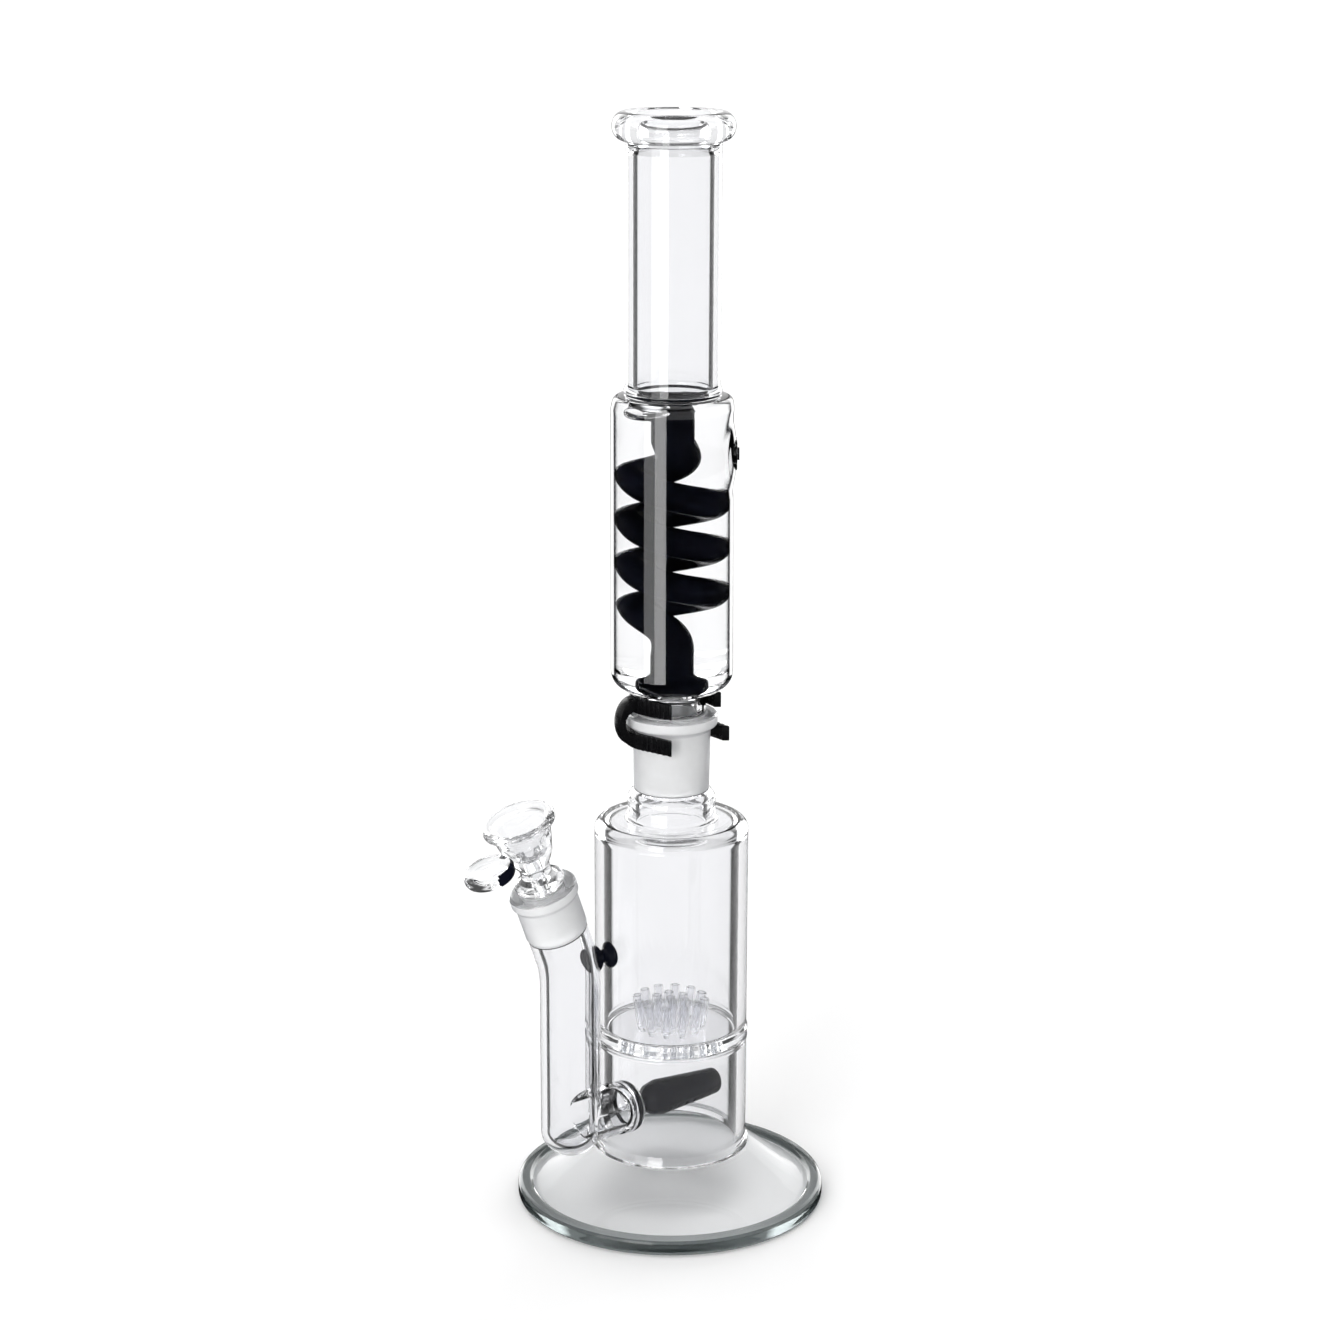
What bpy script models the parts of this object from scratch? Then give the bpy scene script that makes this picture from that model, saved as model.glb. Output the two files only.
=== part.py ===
"""Glass water pipe that lifts apart into a base, a coil condenser with its mouthpiece, and a bowl.

Metres, +Z up. The origin is the centre of the foot's flat underside, on the main axis.
The side arm stands on the -X side and leans outward, towards -X, at its top.
"""

import math

import bmesh
import bpy
from mathutils import Matrix, Vector

MM = 0.001
GAP = 0.3 * MM  # room left between neighbouring pieces, where the real ones are fused or ground together

# Foot
FOOT_R = 66.5 * MM
FOOT_RIM_TOP = 7.5 * MM
FOOT_RIM_WIDTH = 5.5 * MM
FOOT_TOP = 24.3 * MM  # the flat that the chamber is welded to

# Chamber
CHAMBER_R = 32.7 * MM
CHAMBER_WALL = 3.9 * MM
DISC_BOTTOM = 73.1 * MM
DISC_TOP = 78.7 * MM
SHOULDER_TOP = 172.0 * MM
SHOULDER_ROUND = 6.0 * MM

# Pillars on the disc
PILLAR_R = 2.1 * MM
PILLAR_BORE_R = 1.3 * MM
PILLAR_HEIGHT = 12.0 * MM
PILLAR_FLARE_DEG = 8.0  # the outer ring leans outward
PILLAR_RINGS = ((0.0, 1), (6.5 * MM, 6), (13.0 * MM, 12))  # (circle radius, how many)

# Ground joint between base and condenser, 29 mm wide with a taper of 1 in 10
CHAMBER_NECK_R = 18.7 * MM
JOINT_BOTTOM = 185.3 * MM
JOINT_TOP = 218.6 * MM
FLANGE_BOTTOM = 212.6 * MM
FLANGE_R = 19.3 * MM
JOINT_BODY_BOTTOM_R = 15.9 * MM
JOINT_BODY_TOP_R = 16.5 * MM
CONE_TOP_R = 14.55 * MM
CONE_BOTTOM_R = 12.95 * MM
CONE_BOTTOM = 186.6 * MM
CONE_BORE_R = 10.6 * MM

# Condenser
CONDENSER_NECK_R = 14.3 * MM
JACKET_R = 25.6 * MM
JACKET_WALL = 2.5 * MM
JACKET_BOTTOM = 228.8 * MM
JACKET_TOP = 353.0 * MM
JACKET_FLOOR_ROUND = 11.5 * MM
JACKET_SHOULDER_ROUND = 7.0 * MM
JACKET_TOP_HOLE_R = 12.2 * MM
JACKET_BOTTOM_HOLE_R = 10.6 * MM

# Coil
COIL_TUBE_R = 6.1 * MM
COIL_BORE_R = 3.9 * MM
COIL_HELIX_R = 10.4 * MM
COIL_PITCH = 18.9 * MM
COIL_FULL_DEG = 1037.0  # the turn that it makes at its full radius
COIL_FIRST_Z = 319.4 * MM  # height of the first full-radius point of the helix
COIL_FIRST_DEG = 128.7  # and its bearing about the main axis
# Each end comes in to the main axis over a further turn (degrees), while it drops more and more steeply:
# the turn, the extra drop, the power that its radius follows and the power that its height follows
COIL_OPENING = (126.0, 9.2 * MM, 1.66, 3.2)
COIL_CLOSING = (170.0, 11.2 * MM, 1.3, 3.9)
COIL_END_TOP = 345.2 * MM
COIL_END_BOTTOM = 237.0 * MM
COIL_STEP_DEG = 20.0  # between points of the centre line
COIL_FLARE_R = 10.2 * MM
COIL_FLARE_LENGTH = 4.4 * MM

# Fill port and plug
PORT_Z = 329.0 * MM
PORT_BEARING_DEG = -37.0
PORT_BODY_R = 5.0 * MM
PORT_RIM_R = 6.6 * MM
PORT_BORE_R = 2.9 * MM
PORT_FACE = 26.5 * MM
PLUG_CAP_R = 5.8 * MM
PLUG_CAP_FACE = 29.2 * MM
PLUG_RIBS = 18

# Mouthpiece
MOUTH_TUBE_R = 19.5 * MM
MOUTH_TUBE_WALL = 3.1 * MM
MOUTH_TUBE_TOP = 456.5 * MM
LIP_TOP = 468.3 * MM
LIP_R = 25.0 * MM
LIP_BORE_R = 14.8 * MM

# Side arm
ARM_X = -52.9 * MM
ARM_R = 12.75 * MM
ARM_WALL = 2.6 * MM
ARM_BOTTOM = 31.5 * MM
ARM_DOME = 11.0 * MM
ARM_BEND_Z = 116.0 * MM
ARM_BEND_R = 45.0 * MM
ARM_LEAN_DEG = 20.3
ARM_END = 18.1 * MM  # from the bend, along the leaning axis
SOCKET_START = 18.4 * MM
SOCKET_LENGTH = 22.6 * MM
SOCKET_BODY_R = 13.25 * MM
SOCKET_FLANGE_R = 14.5 * MM
SOCKET_FLANGE_LENGTH = 5.5 * MM

# Bowl, measured along its axis from the top of the socket
BOWL_CONE_R = 9.4 * MM
BOWL_CONE_LENGTH = 20.0 * MM
BOWL_CONE_BORE_R = 6.2 * MM
BOWL_NECK_TOP = 13.8 * MM
BOWL_CUP_BOTTOM = 14.1 * MM
BOWL_RIM_TOP = 33.6 * MM
BOWL_RIM_R = 15.5 * MM
BOWL_FOOT_R = 8.3 * MM
HANDLE_R = 10.8 * MM
HANDLE_THICKNESS = 6.6 * MM
HANDLE_REACH = 20.2 * MM
HANDLE_HEIGHT = 19.3 * MM

# Cross tube and inline diffuser
CROSS_Z = 46.0 * MM
CROSS_R = 11.2 * MM
CROSS_WALL = 2.3 * MM
CROSS_INNER_END = -18.6 * MM
DIFFUSER_START = -18.2 * MM
DIFFUSER_END = 26.0 * MM
DIFFUSER_WALL = 1.5 * MM
DIFFUSER_SLITS = 6
DIFFUSER_SLIT_PITCH = 4.6 * MM
DIFFUSER_FIRST_SLIT = 12.6 * MM
DIFFUSER_SLIT_SIZE = (1.1 * MM, 20.0 * MM, 8.0 * MM)
DIFFUSER_SLIT_DROP = 8.2 * MM  # below the tube's axis
DIFFUSER_SLIT_TILT_DEG = 12.0

# Strut between the arm and the chamber
STRUT_Z = 117.0 * MM
STRUT_ROD_R = 2.8 * MM
STRUT_PAD_R = 5.6 * MM

# Joint clip
CLIP_OPENING_DEG = 278.0
CLIP_OPENING_HALF_DEG = 45.0
CLIP_BAND = 2.8 * MM
# Each ring of the clip: bottom, top, inner radius, flare of the ends
CLIP_LOWER = (205.7 * MM, 212.2 * MM, 16.9 * MM, 4.6 * MM)
CLIP_UPPER = (220.4 * MM, 227.0 * MM, 15.1 * MM, 2.8 * MM)
CLIP_BRIDGE_DEG = 110.0
CLIP_BRIDGE_WIDTH = 7.0 * MM
CLIP_BRIDGE_MIDDLE_R = 17.4 * MM
CLIP_BRIDGE_BULGE = (7.7 * MM, 5.1 * MM)  # of its outer and its inner side
CLIP_FLARE_DEG = 34.0  # the turn over which each ring's ends spread
CLIP_RIBBED_DEG = 44.0
CLIP_RIB_DEPTH = 0.5 * MM
CLIP_RIBS = 6

# Facets
TURN_STEPS = 24
SMALL_STEPS = 16
FOOT_STEPS = 40
PILLAR_STEPS = 8
MERGE = 0.00001


def clear_scene():
    for obj in list(bpy.data.objects):
        bpy.data.objects.remove(obj, do_unlink=True)


def new_collection(name):
    collection = bpy.data.collections.new(name)
    bpy.context.scene.collection.children.link(collection)
    return collection


clear_scene()
PARTS = new_collection("glass_water_pipe")
CUTTERS = new_collection("cutters")


def principled(name, color, roughness, transmission=0.0):
    """A Principled material, with the colour given as linear RGB."""
    material = bpy.data.materials.new(name)
    material.use_nodes = True
    shader = material.node_tree.nodes["Principled BSDF"]
    shader.inputs["Base Color"].default_value = (*color, 1.0)
    shader.inputs["Roughness"].default_value = roughness
    shader.inputs["Metallic"].default_value = 0.0
    shader.inputs["Transmission Weight"].default_value = transmission
    material.diffuse_color = (*color, 1.0)
    return material


def clear_glass(name):
    return principled(name, (0.92, 0.95, 0.95), 0.02, 1.0)


def frosted_glass(name):
    return principled(name, (0.78, 0.79, 0.79), 0.55, 0.6)


def black_glass(name):
    return principled(name, (0.006, 0.007, 0.010), 0.06)


def black_plastic(name):
    return principled(name, (0.012, 0.012, 0.013), 0.38)


def link(name, data, material, cutter=False):
    obj = bpy.data.objects.new(name, data)
    (CUTTERS if cutter else PARTS).objects.link(obj)
    if cutter:
        obj.hide_render = True
        obj.display_type = "WIRE"
    elif material:
        data.materials.append(material)
    return obj


def place(obj, location=(0.0, 0.0, 0.0), rotation=(0.0, 0.0, 0.0), parent=None):
    obj.location = location
    obj.rotation_euler = rotation
    obj.parent = parent
    return obj


def arc(center, radii, start_deg, end_deg, count):
    """Points along an arc of an ellipse in the profile plane, both ends included."""
    points = []
    for index in range(count):
        angle = math.radians(start_deg + (end_deg - start_deg) * index / (count - 1))
        points.append((center[0] + radii[0] * math.cos(angle), center[1] + radii[1] * math.sin(angle)))
    return points


def turned(name, profile, material=None, closed=True, steps=TURN_STEPS, cutter=False):
    """A turned solid. Its (radius, height) points run down the outer side and back up the inner one."""
    mesh = bpy.data.meshes.new(name)
    edges = [(index, index + 1) for index in range(len(profile) - 1)]
    if closed:
        edges.append((len(profile) - 1, 0))
    mesh.from_pydata([(radius, 0.0, height) for radius, height in profile], edges, [])
    obj = link(name, mesh, material, cutter)
    screw = obj.modifiers.new("Turn", "SCREW")
    screw.steps = screw.render_steps = steps
    screw.use_merge_vertices = True
    screw.merge_threshold = MERGE
    screw.use_smooth_shade = True
    return obj


def bored(name, outer, inner, material, steps=TURN_STEPS):
    """A turned shell: outer points from top to bottom, bore points from bottom to top."""
    return turned(name, outer + inner, material, steps=steps)


def cylinder_cutter(name, radius, bottom, top, steps=TURN_STEPS):
    profile = [(0.0, top), (radius, top), (radius, bottom), (0.0, bottom)]
    return turned(name, profile, closed=False, steps=steps, cutter=True)


def boolean(obj, other, operation="DIFFERENCE"):
    modifier = obj.modifiers.new(operation.title() + " " + other.name, "BOOLEAN")
    modifier.operation = operation
    modifier.object = other
    return obj


def as_mesh(obj, cutter=False):
    """Replaces a curve object by its mesh, with the caps welded on."""
    graph = bpy.context.evaluated_depsgraph_get()
    name, material = obj.name, obj.active_material
    mesh = bpy.data.meshes.new_from_object(obj.evaluated_get(graph))
    matrix = obj.matrix_world.copy()
    curve = obj.data
    bpy.data.objects.remove(obj, do_unlink=True)
    bpy.data.curves.remove(curve)
    form = bmesh.new()
    form.from_mesh(mesh)
    bmesh.ops.remove_doubles(form, verts=form.verts, dist=MERGE)
    bmesh.ops.recalc_face_normals(form, faces=form.faces)
    form.to_mesh(mesh)
    form.free()
    mesh.name = name
    mesh.materials.clear()
    solid = link(name, mesh, material, cutter)
    solid.matrix_world = matrix
    mesh.shade_smooth()
    mesh.set_sharp_from_angle(angle=math.radians(40))
    return solid


def swept(name, stations, material=None, resolution=2, cutter=False):
    """A round bar through (point, radius) stations."""
    curve = bpy.data.curves.new(name, "CURVE")
    curve.dimensions = "3D"
    curve.bevel_depth = 1.0
    curve.bevel_resolution = resolution
    curve.use_fill_caps = True
    spline = curve.splines.new("POLY")
    spline.points.add(len(stations) - 1)
    for point, (position, radius) in zip(spline.points, stations):
        point.co = (*position, 1.0)
        point.radius = radius
    return as_mesh(link(name, curve, material), cutter)


def plate(name, outline, thickness, material):
    """A flat outline in its own XY plane, with its thickness centred on that plane."""
    curve = bpy.data.curves.new(name, "CURVE")
    curve.dimensions = "2D"
    curve.fill_mode = "BOTH"
    curve.extrude = thickness / 2
    spline = curve.splines.new("POLY")
    spline.points.add(len(outline) - 1)
    for point, (x, y) in zip(spline.points, outline):
        point.co = (x, y, 0.0, 1.0)
    spline.use_cyclic_u = True
    return link(name, curve, material)


def lean():
    return math.radians(ARM_LEAN_DEG)


def lean_axis():
    return Vector((-math.sin(lean()), 0.0, math.cos(lean())))


def lean_point(distance):
    """A point on the leaning axis, by its distance from the bend."""
    return Vector((ARM_X, 0.0, ARM_BEND_Z)) + lean_axis() * distance


def empty(name, location, rotation=(0.0, 0.0, 0.0)):
    obj = bpy.data.objects.new(name, None)
    PARTS.objects.link(obj)
    return place(obj, location, rotation)


def make_foot():
    """A heavy disc with a round rim, rising in a shallow cone to the chamber."""
    edge = 2.4 * MM
    profile = [(0.0, FOOT_TOP), (CHAMBER_R + 1.0 * MM, FOOT_TOP)]
    inner_rim = FOOT_R - FOOT_RIM_WIDTH
    rise = FOOT_TOP - 6.5 * MM
    span = inner_rim - CHAMBER_R - 1.0 * MM
    for share in (0.12, 0.3, 0.55, 0.8):
        height = FOOT_TOP - rise * (share + 0.12 * math.sin(math.pi * share))
        profile.append((CHAMBER_R + 1.0 * MM + span * share, height))
    profile.append((inner_rim, 6.5 * MM))
    profile += arc((FOOT_R - edge, FOOT_RIM_TOP - edge), (edge, edge), 95, 0, 4)
    profile += arc((FOOT_R - edge, edge), (edge, edge), 0, -90, 4)
    profile.append((0.0, 0.0))
    turned("foot", profile, clear_glass("foot_glass"), closed=False, steps=FOOT_STEPS)


def chamber_bore():
    return CHAMBER_R - CHAMBER_WALL


def make_lower_chamber():
    """The water chamber: a plain tube with a weld bead at its foot, let in for the cross tube."""
    bottom = FOOT_TOP + GAP
    top = DISC_BOTTOM - GAP
    bead = 0.9 * MM
    outer = [
        (CHAMBER_R, top),
        (CHAMBER_R, bottom + 4 * MM),
        (CHAMBER_R + bead, bottom + 1.8 * MM),
        (CHAMBER_R + bead, bottom),
    ]
    inner = [(chamber_bore(), bottom), (chamber_bore(), top)]
    chamber = bored("lower_chamber", outer, inner, clear_glass("lower_chamber_glass"))
    hole = cylinder_cutter("cross_tube_hole", CROSS_R + GAP, 0.0, 12 * MM)
    place(hole, (-CHAMBER_R - 3 * MM, 0.0, CROSS_Z), (0.0, math.radians(90), 0.0))
    boolean(chamber, hole)


def pillar_places():
    """(name, bearing, circle radius) of each pillar, from the centre outward."""
    places = []
    for radius, count in PILLAR_RINGS:
        for index in range(count):
            bearing = math.radians(360.0 * (index + 0.5 * (count > 6)) / count)
            places.append((f"perc_pillar_{len(places) + 1:02d}", bearing, radius))
    return places


def make_perc_disc():
    """The disc across the chamber, with a hole under each pillar."""
    edge = 0.6 * MM
    profile = [
        (0.0, DISC_TOP),
        (CHAMBER_R - edge, DISC_TOP),
        (CHAMBER_R, DISC_TOP - edge),
        (CHAMBER_R, DISC_BOTTOM + edge),
        (CHAMBER_R - edge, DISC_BOTTOM),
        (0.0, DISC_BOTTOM),
    ]
    disc = turned("perc_disc", profile, clear_glass("perc_disc_glass"), closed=False)
    drills = bmesh.new()
    for _, bearing, radius in pillar_places():
        center = (radius * math.cos(bearing), radius * math.sin(bearing), (DISC_TOP + DISC_BOTTOM) / 2)
        bmesh.ops.create_cone(
            drills,
            cap_ends=True,
            segments=6,
            radius1=PILLAR_BORE_R,
            radius2=PILLAR_BORE_R,
            depth=2 * (DISC_TOP - DISC_BOTTOM),
            matrix=Matrix.Translation(center),
        )
    mesh = bpy.data.meshes.new("pillar_holes")
    drills.to_mesh(mesh)
    drills.free()
    boolean(disc, link("pillar_holes", mesh, None, cutter=True))


def make_pillars():
    """Short open tubes that break the bubbles up. The outer ring leans outward."""
    glass = clear_glass("pillar_glass")
    outer = [(PILLAR_R, PILLAR_HEIGHT), (PILLAR_R, 0.0)]
    inner = [(PILLAR_BORE_R, 0.0), (PILLAR_BORE_R, PILLAR_HEIGHT)]
    shared = None
    for name, bearing, radius in pillar_places():
        if shared is None:
            pillar = bored(name, outer, inner, glass, steps=PILLAR_STEPS)
            shared = pillar
        else:
            pillar = shared.copy()
            pillar.name = name
            PARTS.objects.link(pillar)
        flare = math.radians(PILLAR_FLARE_DEG) if radius > 10 * MM else 0.0
        stand = DISC_TOP + GAP + PILLAR_R * math.sin(flare)
        spot = (radius * math.cos(bearing), radius * math.sin(bearing), stand)
        place(pillar, spot, (0.0, flare, bearing))


def make_upper_chamber():
    """The tall expansion chamber, closed by a nearly flat shoulder round the neck."""
    bottom = DISC_TOP + GAP
    bore_round = SHOULDER_ROUND - 2.5 * MM
    hole = CHAMBER_NECK_R - 3.4 * MM
    round_center = (CHAMBER_R - SHOULDER_ROUND, SHOULDER_TOP - SHOULDER_ROUND)
    outer = [(hole, SHOULDER_TOP)]
    outer += arc(round_center, (SHOULDER_ROUND, SHOULDER_ROUND), 86, 0, 5)
    outer.append((CHAMBER_R, bottom))
    roof = SHOULDER_TOP - CHAMBER_WALL
    inner = [(chamber_bore(), bottom)]
    inner += arc((chamber_bore() - bore_round, roof - bore_round), (bore_round, bore_round), 0, 86, 4)
    inner.append((hole, roof))
    bored("upper_chamber", outer, inner, clear_glass("upper_chamber_glass"))


def make_chamber_neck():
    """The clear collar between the shoulder and the ground socket."""
    bottom = SHOULDER_TOP + GAP
    top = JOINT_BOTTOM - GAP
    outer = [
        (JOINT_BODY_BOTTOM_R, top),
        (JOINT_BODY_BOTTOM_R + 1.7 * MM, top - 1.4 * MM),
        (CHAMBER_NECK_R, top - 3.6 * MM),
        (CHAMBER_NECK_R, bottom + 2.4 * MM),
        (CHAMBER_NECK_R + 1.1 * MM, bottom),
    ]
    bore = CHAMBER_NECK_R - 3.4 * MM
    inner = [(bore, bottom), (bore, top - 4.2 * MM)]
    inner += [(CONE_BOTTOM_R, top - 1.2 * MM), (CONE_BOTTOM_R, top)]
    bored("chamber_neck", outer, inner, clear_glass("chamber_neck_glass"))


def cone_radius(height):
    """Radius of the condenser's ground cone at a height."""
    share = (height - CONE_BOTTOM) / (JOINT_TOP - CONE_BOTTOM)
    return CONE_BOTTOM_R + (CONE_TOP_R - CONE_BOTTOM_R) * share


def make_base_joint_socket():
    """The ground socket on the base, with the flange that the clip holds."""
    edge = 1.2 * MM
    outer = [
        (FLANGE_R - edge, JOINT_TOP),
        (FLANGE_R, JOINT_TOP - edge),
        (FLANGE_R, FLANGE_BOTTOM + 1.6 * MM),
        (JOINT_BODY_TOP_R + 0.8 * MM, FLANGE_BOTTOM),
        (JOINT_BODY_TOP_R, FLANGE_BOTTOM - 0.4 * MM),
        (JOINT_BODY_BOTTOM_R, JOINT_BOTTOM),
    ]
    inner = [(cone_radius(JOINT_BOTTOM) + GAP, JOINT_BOTTOM), (cone_radius(JOINT_TOP) + GAP, JOINT_TOP)]
    bored("base_joint_socket", outer, inner, frosted_glass("base_joint_socket_glass"))


def make_condenser_cone():
    top = JOINT_TOP + GAP
    outer = [(CONE_TOP_R, top), (cone_radius(JOINT_TOP), JOINT_TOP), (CONE_BOTTOM_R, CONE_BOTTOM)]
    inner = [(CONE_BORE_R, CONE_BOTTOM), (CONE_BORE_R, top)]
    bored("condenser_joint_cone", outer, inner, frosted_glass("condenser_cone_glass"))


def make_condenser_neck():
    bottom = JOINT_TOP + 2 * GAP
    top = JACKET_BOTTOM - GAP
    outer = [(CONDENSER_NECK_R, top), (CONDENSER_NECK_R, bottom)]
    inner = [(CONE_BORE_R, bottom), (CONE_BORE_R, top)]
    bored("condenser_neck", outer, inner, clear_glass("condenser_neck_glass"))


def jacket_outline(inset):
    """The jacket's outer side from top to bottom, moved inward by inset."""
    shoulder = JACKET_SHOULDER_ROUND - 0.6 * inset
    floor = JACKET_FLOOR_ROUND - 0.6 * inset
    radius = JACKET_R - inset
    top = JACKET_TOP - inset
    bottom = JACKET_BOTTOM + inset
    points = arc((radius - shoulder, top - shoulder), (shoulder, shoulder), 88, 0, 4)
    points += arc((radius - floor, bottom + floor), (floor, floor), 0, -86, 5)
    return points


def make_condenser_jacket():
    """The outer shell of the condenser, open where the coil's two ends pass through it."""
    outer = [(JACKET_TOP_HOLE_R, JACKET_TOP)]
    outer += jacket_outline(0.0)
    outer.append((JACKET_BOTTOM_HOLE_R, JACKET_BOTTOM))
    inner = [(JACKET_BOTTOM_HOLE_R, JACKET_BOTTOM + JACKET_WALL)]
    inner += jacket_outline(JACKET_WALL)[::-1]
    inner.append((JACKET_TOP_HOLE_R, JACKET_TOP - JACKET_WALL))
    jacket = bored("condenser_jacket", outer, inner, clear_glass("condenser_jacket_glass"))
    hole = cylinder_cutter("fill_port_hole", PORT_BODY_R + GAP, 20 * MM, 30 * MM, SMALL_STEPS)
    place(hole, (0.0, 0.0, PORT_Z), (0.0, math.radians(90), math.radians(PORT_BEARING_DEG)))
    boolean(jacket, hole)


def coil_path():
    """The coil's centre line: down the main axis, out into the helix, and back to the axis."""
    points = [Vector((0.0, 0.0, COIL_END_TOP + 8 * MM)), Vector((0.0, 0.0, COIL_END_TOP))]
    opening_deg, opening_drop, opening_power, opening_drop_power = COIL_OPENING
    closing_deg, closing_drop, closing_power, closing_drop_power = COIL_CLOSING
    first, last = -opening_deg, COIL_FULL_DEG + closing_deg
    count = round((last - first) / COIL_STEP_DEG)
    for index in range(count + 1):
        turn = first + (last - first) * index / count
        from_start = max(0.0, -turn / opening_deg)
        from_end = max(0.0, (turn - COIL_FULL_DEG) / closing_deg)
        radius = COIL_HELIX_R * (1.0 - from_start**opening_power - from_end**closing_power)
        height = COIL_FIRST_Z - COIL_PITCH * turn / 360.0
        height += opening_drop * from_start**opening_drop_power
        height -= closing_drop * from_end**closing_drop_power
        bearing = math.radians(COIL_FIRST_DEG + turn)
        points.append(Vector((radius * math.cos(bearing), radius * math.sin(bearing), height)))
    points += [Vector((0.0, 0.0, COIL_END_BOTTOM)), Vector((0.0, 0.0, COIL_END_BOTTOM - 8 * MM))]
    return points


def coil_bar(name, radius, reach, material=None, cutter=False, resolution=2):
    """A round bar along the coil, whose straight ends stop at, or run past, the coil's own ends."""
    points = coil_path()
    if not reach:
        points = points[1:-1]
    return swept(name, [(point, radius) for point in points], material, resolution, cutter)


def make_coil():
    """The black glass tube that the smoke is cooled in."""
    coil = coil_bar("coil_tube", COIL_TUBE_R, False, black_glass("coil_glass"))
    boolean(coil, coil_bar("coil_bore", COIL_BORE_R, True, cutter=True, resolution=1))


def flare_profile(near, far, growth=0.0):
    """Outer side of a coil end, from top to bottom. It is wide at far and narrow at near."""
    shape = [(COIL_FLARE_R, near + abs(far - near))]
    shape += arc((COIL_FLARE_R, near), (COIL_FLARE_R - COIL_TUBE_R, COIL_FLARE_LENGTH), 90, 180, 4)
    if far < near:
        shape = [(radius, 2 * near - height) for radius, height in shape][::-1]
    return [(radius + growth, height) for radius, height in shape]


def make_coil_ends():
    """The flares that weld the coil to the mouthpiece's floor and to the condenser's neck."""
    glass = black_glass("coil_end_glass")
    top_outer = flare_profile(COIL_END_TOP + GAP, JACKET_TOP - GAP)
    bore = [(COIL_BORE_R, COIL_END_TOP + GAP), (COIL_BORE_R, JACKET_TOP - GAP)]
    bored("coil_inlet", top_outer, bore, glass)
    low_outer = flare_profile(COIL_END_BOTTOM - GAP, JACKET_BOTTOM + GAP)
    bore = [(COIL_BORE_R, JACKET_BOTTOM + GAP), (COIL_BORE_R, COIL_END_BOTTOM - GAP)]
    bored("coil_outlet", low_outer, bore, glass)


def make_coolant():
    """The glycerin that fills the jacket round the coil."""
    inset = JACKET_WALL + GAP
    top = JACKET_TOP - inset
    bottom = JACKET_BOTTOM + inset
    profile = [(0.0, top)] + jacket_outline(inset) + [(0.0, bottom)]
    coolant = turned("coolant_fill", profile, clear_glass("coolant"), closed=False)
    boolean(coolant, coil_bar("coil_room", COIL_TUBE_R + GAP, True, cutter=True))
    for name, near, far in (
        ("coil_inlet_room", COIL_END_TOP, JACKET_TOP + 1 * MM),
        ("coil_outlet_room", COIL_END_BOTTOM, JACKET_BOTTOM - 1 * MM),
    ):
        low, high = min(near, far), max(near, far)
        sides = flare_profile(near, far, 2 * GAP)
        room = turned(name, [(0.0, high)] + sides + [(0.0, low)], closed=False, cutter=True)
        boolean(coolant, room)


def radial_frame(name, height):
    """An empty whose +Z points outward along the fill port's bearing."""
    return empty(name, (0.0, 0.0, height), (0.0, math.radians(90), math.radians(PORT_BEARING_DEG)))


def make_fill_port():
    """A short glass tube through the jacket wall, with a rim outside."""
    axis = radial_frame("fill_port_axis", PORT_Z)
    rim_start = JACKET_R + GAP
    start = JACKET_R - JACKET_WALL + GAP
    outer = [(PORT_RIM_R - 0.4 * MM, PORT_FACE), (PORT_RIM_R, PORT_FACE - 0.3 * MM)]
    outer.append((PORT_RIM_R, rim_start))
    outer += [(PORT_BODY_R, rim_start), (PORT_BODY_R, start)]
    inner = [(PORT_BORE_R, start), (PORT_BORE_R, PORT_FACE)]
    port = bored("fill_port", outer, inner, clear_glass("fill_port_glass"), steps=SMALL_STEPS)
    place(port, parent=axis)


def ribbed_ring(radius, depth, ribs):
    """A round outline with square-edged ribs."""
    outline = []
    for rib in range(ribs):
        for share, low in ((0.0, 0), (0.5, 0), (0.58, 1), (0.92, 1)):
            angle = 2 * math.pi * (rib + share) / ribs
            reach = radius - depth * low
            outline.append((reach * math.cos(angle), reach * math.sin(angle)))
    return outline


def make_fill_plug():
    """The rubber plug: a knurled cap on a stem that fills the port's bore."""
    axis = radial_frame("fill_plug_axis", PORT_Z)
    rubber = black_plastic("fill_plug_rubber")
    cap_start = PORT_FACE + GAP
    thickness = PLUG_CAP_FACE - cap_start
    cap = as_mesh(plate("fill_plug", ribbed_ring(PLUG_CAP_R, 0.45 * MM, PLUG_RIBS), thickness, rubber))
    place(cap, (0.0, 0.0, (cap_start + PLUG_CAP_FACE) / 2), parent=axis)
    stem_end = JACKET_R - JACKET_WALL + 2 * GAP
    stem_top = cap_start + thickness / 2
    stem = cylinder_cutter("fill_plug_stem", PORT_BORE_R - GAP, stem_end, stem_top, SMALL_STEPS)
    place(stem, parent=axis)
    boolean(cap, stem, "UNION")


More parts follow.
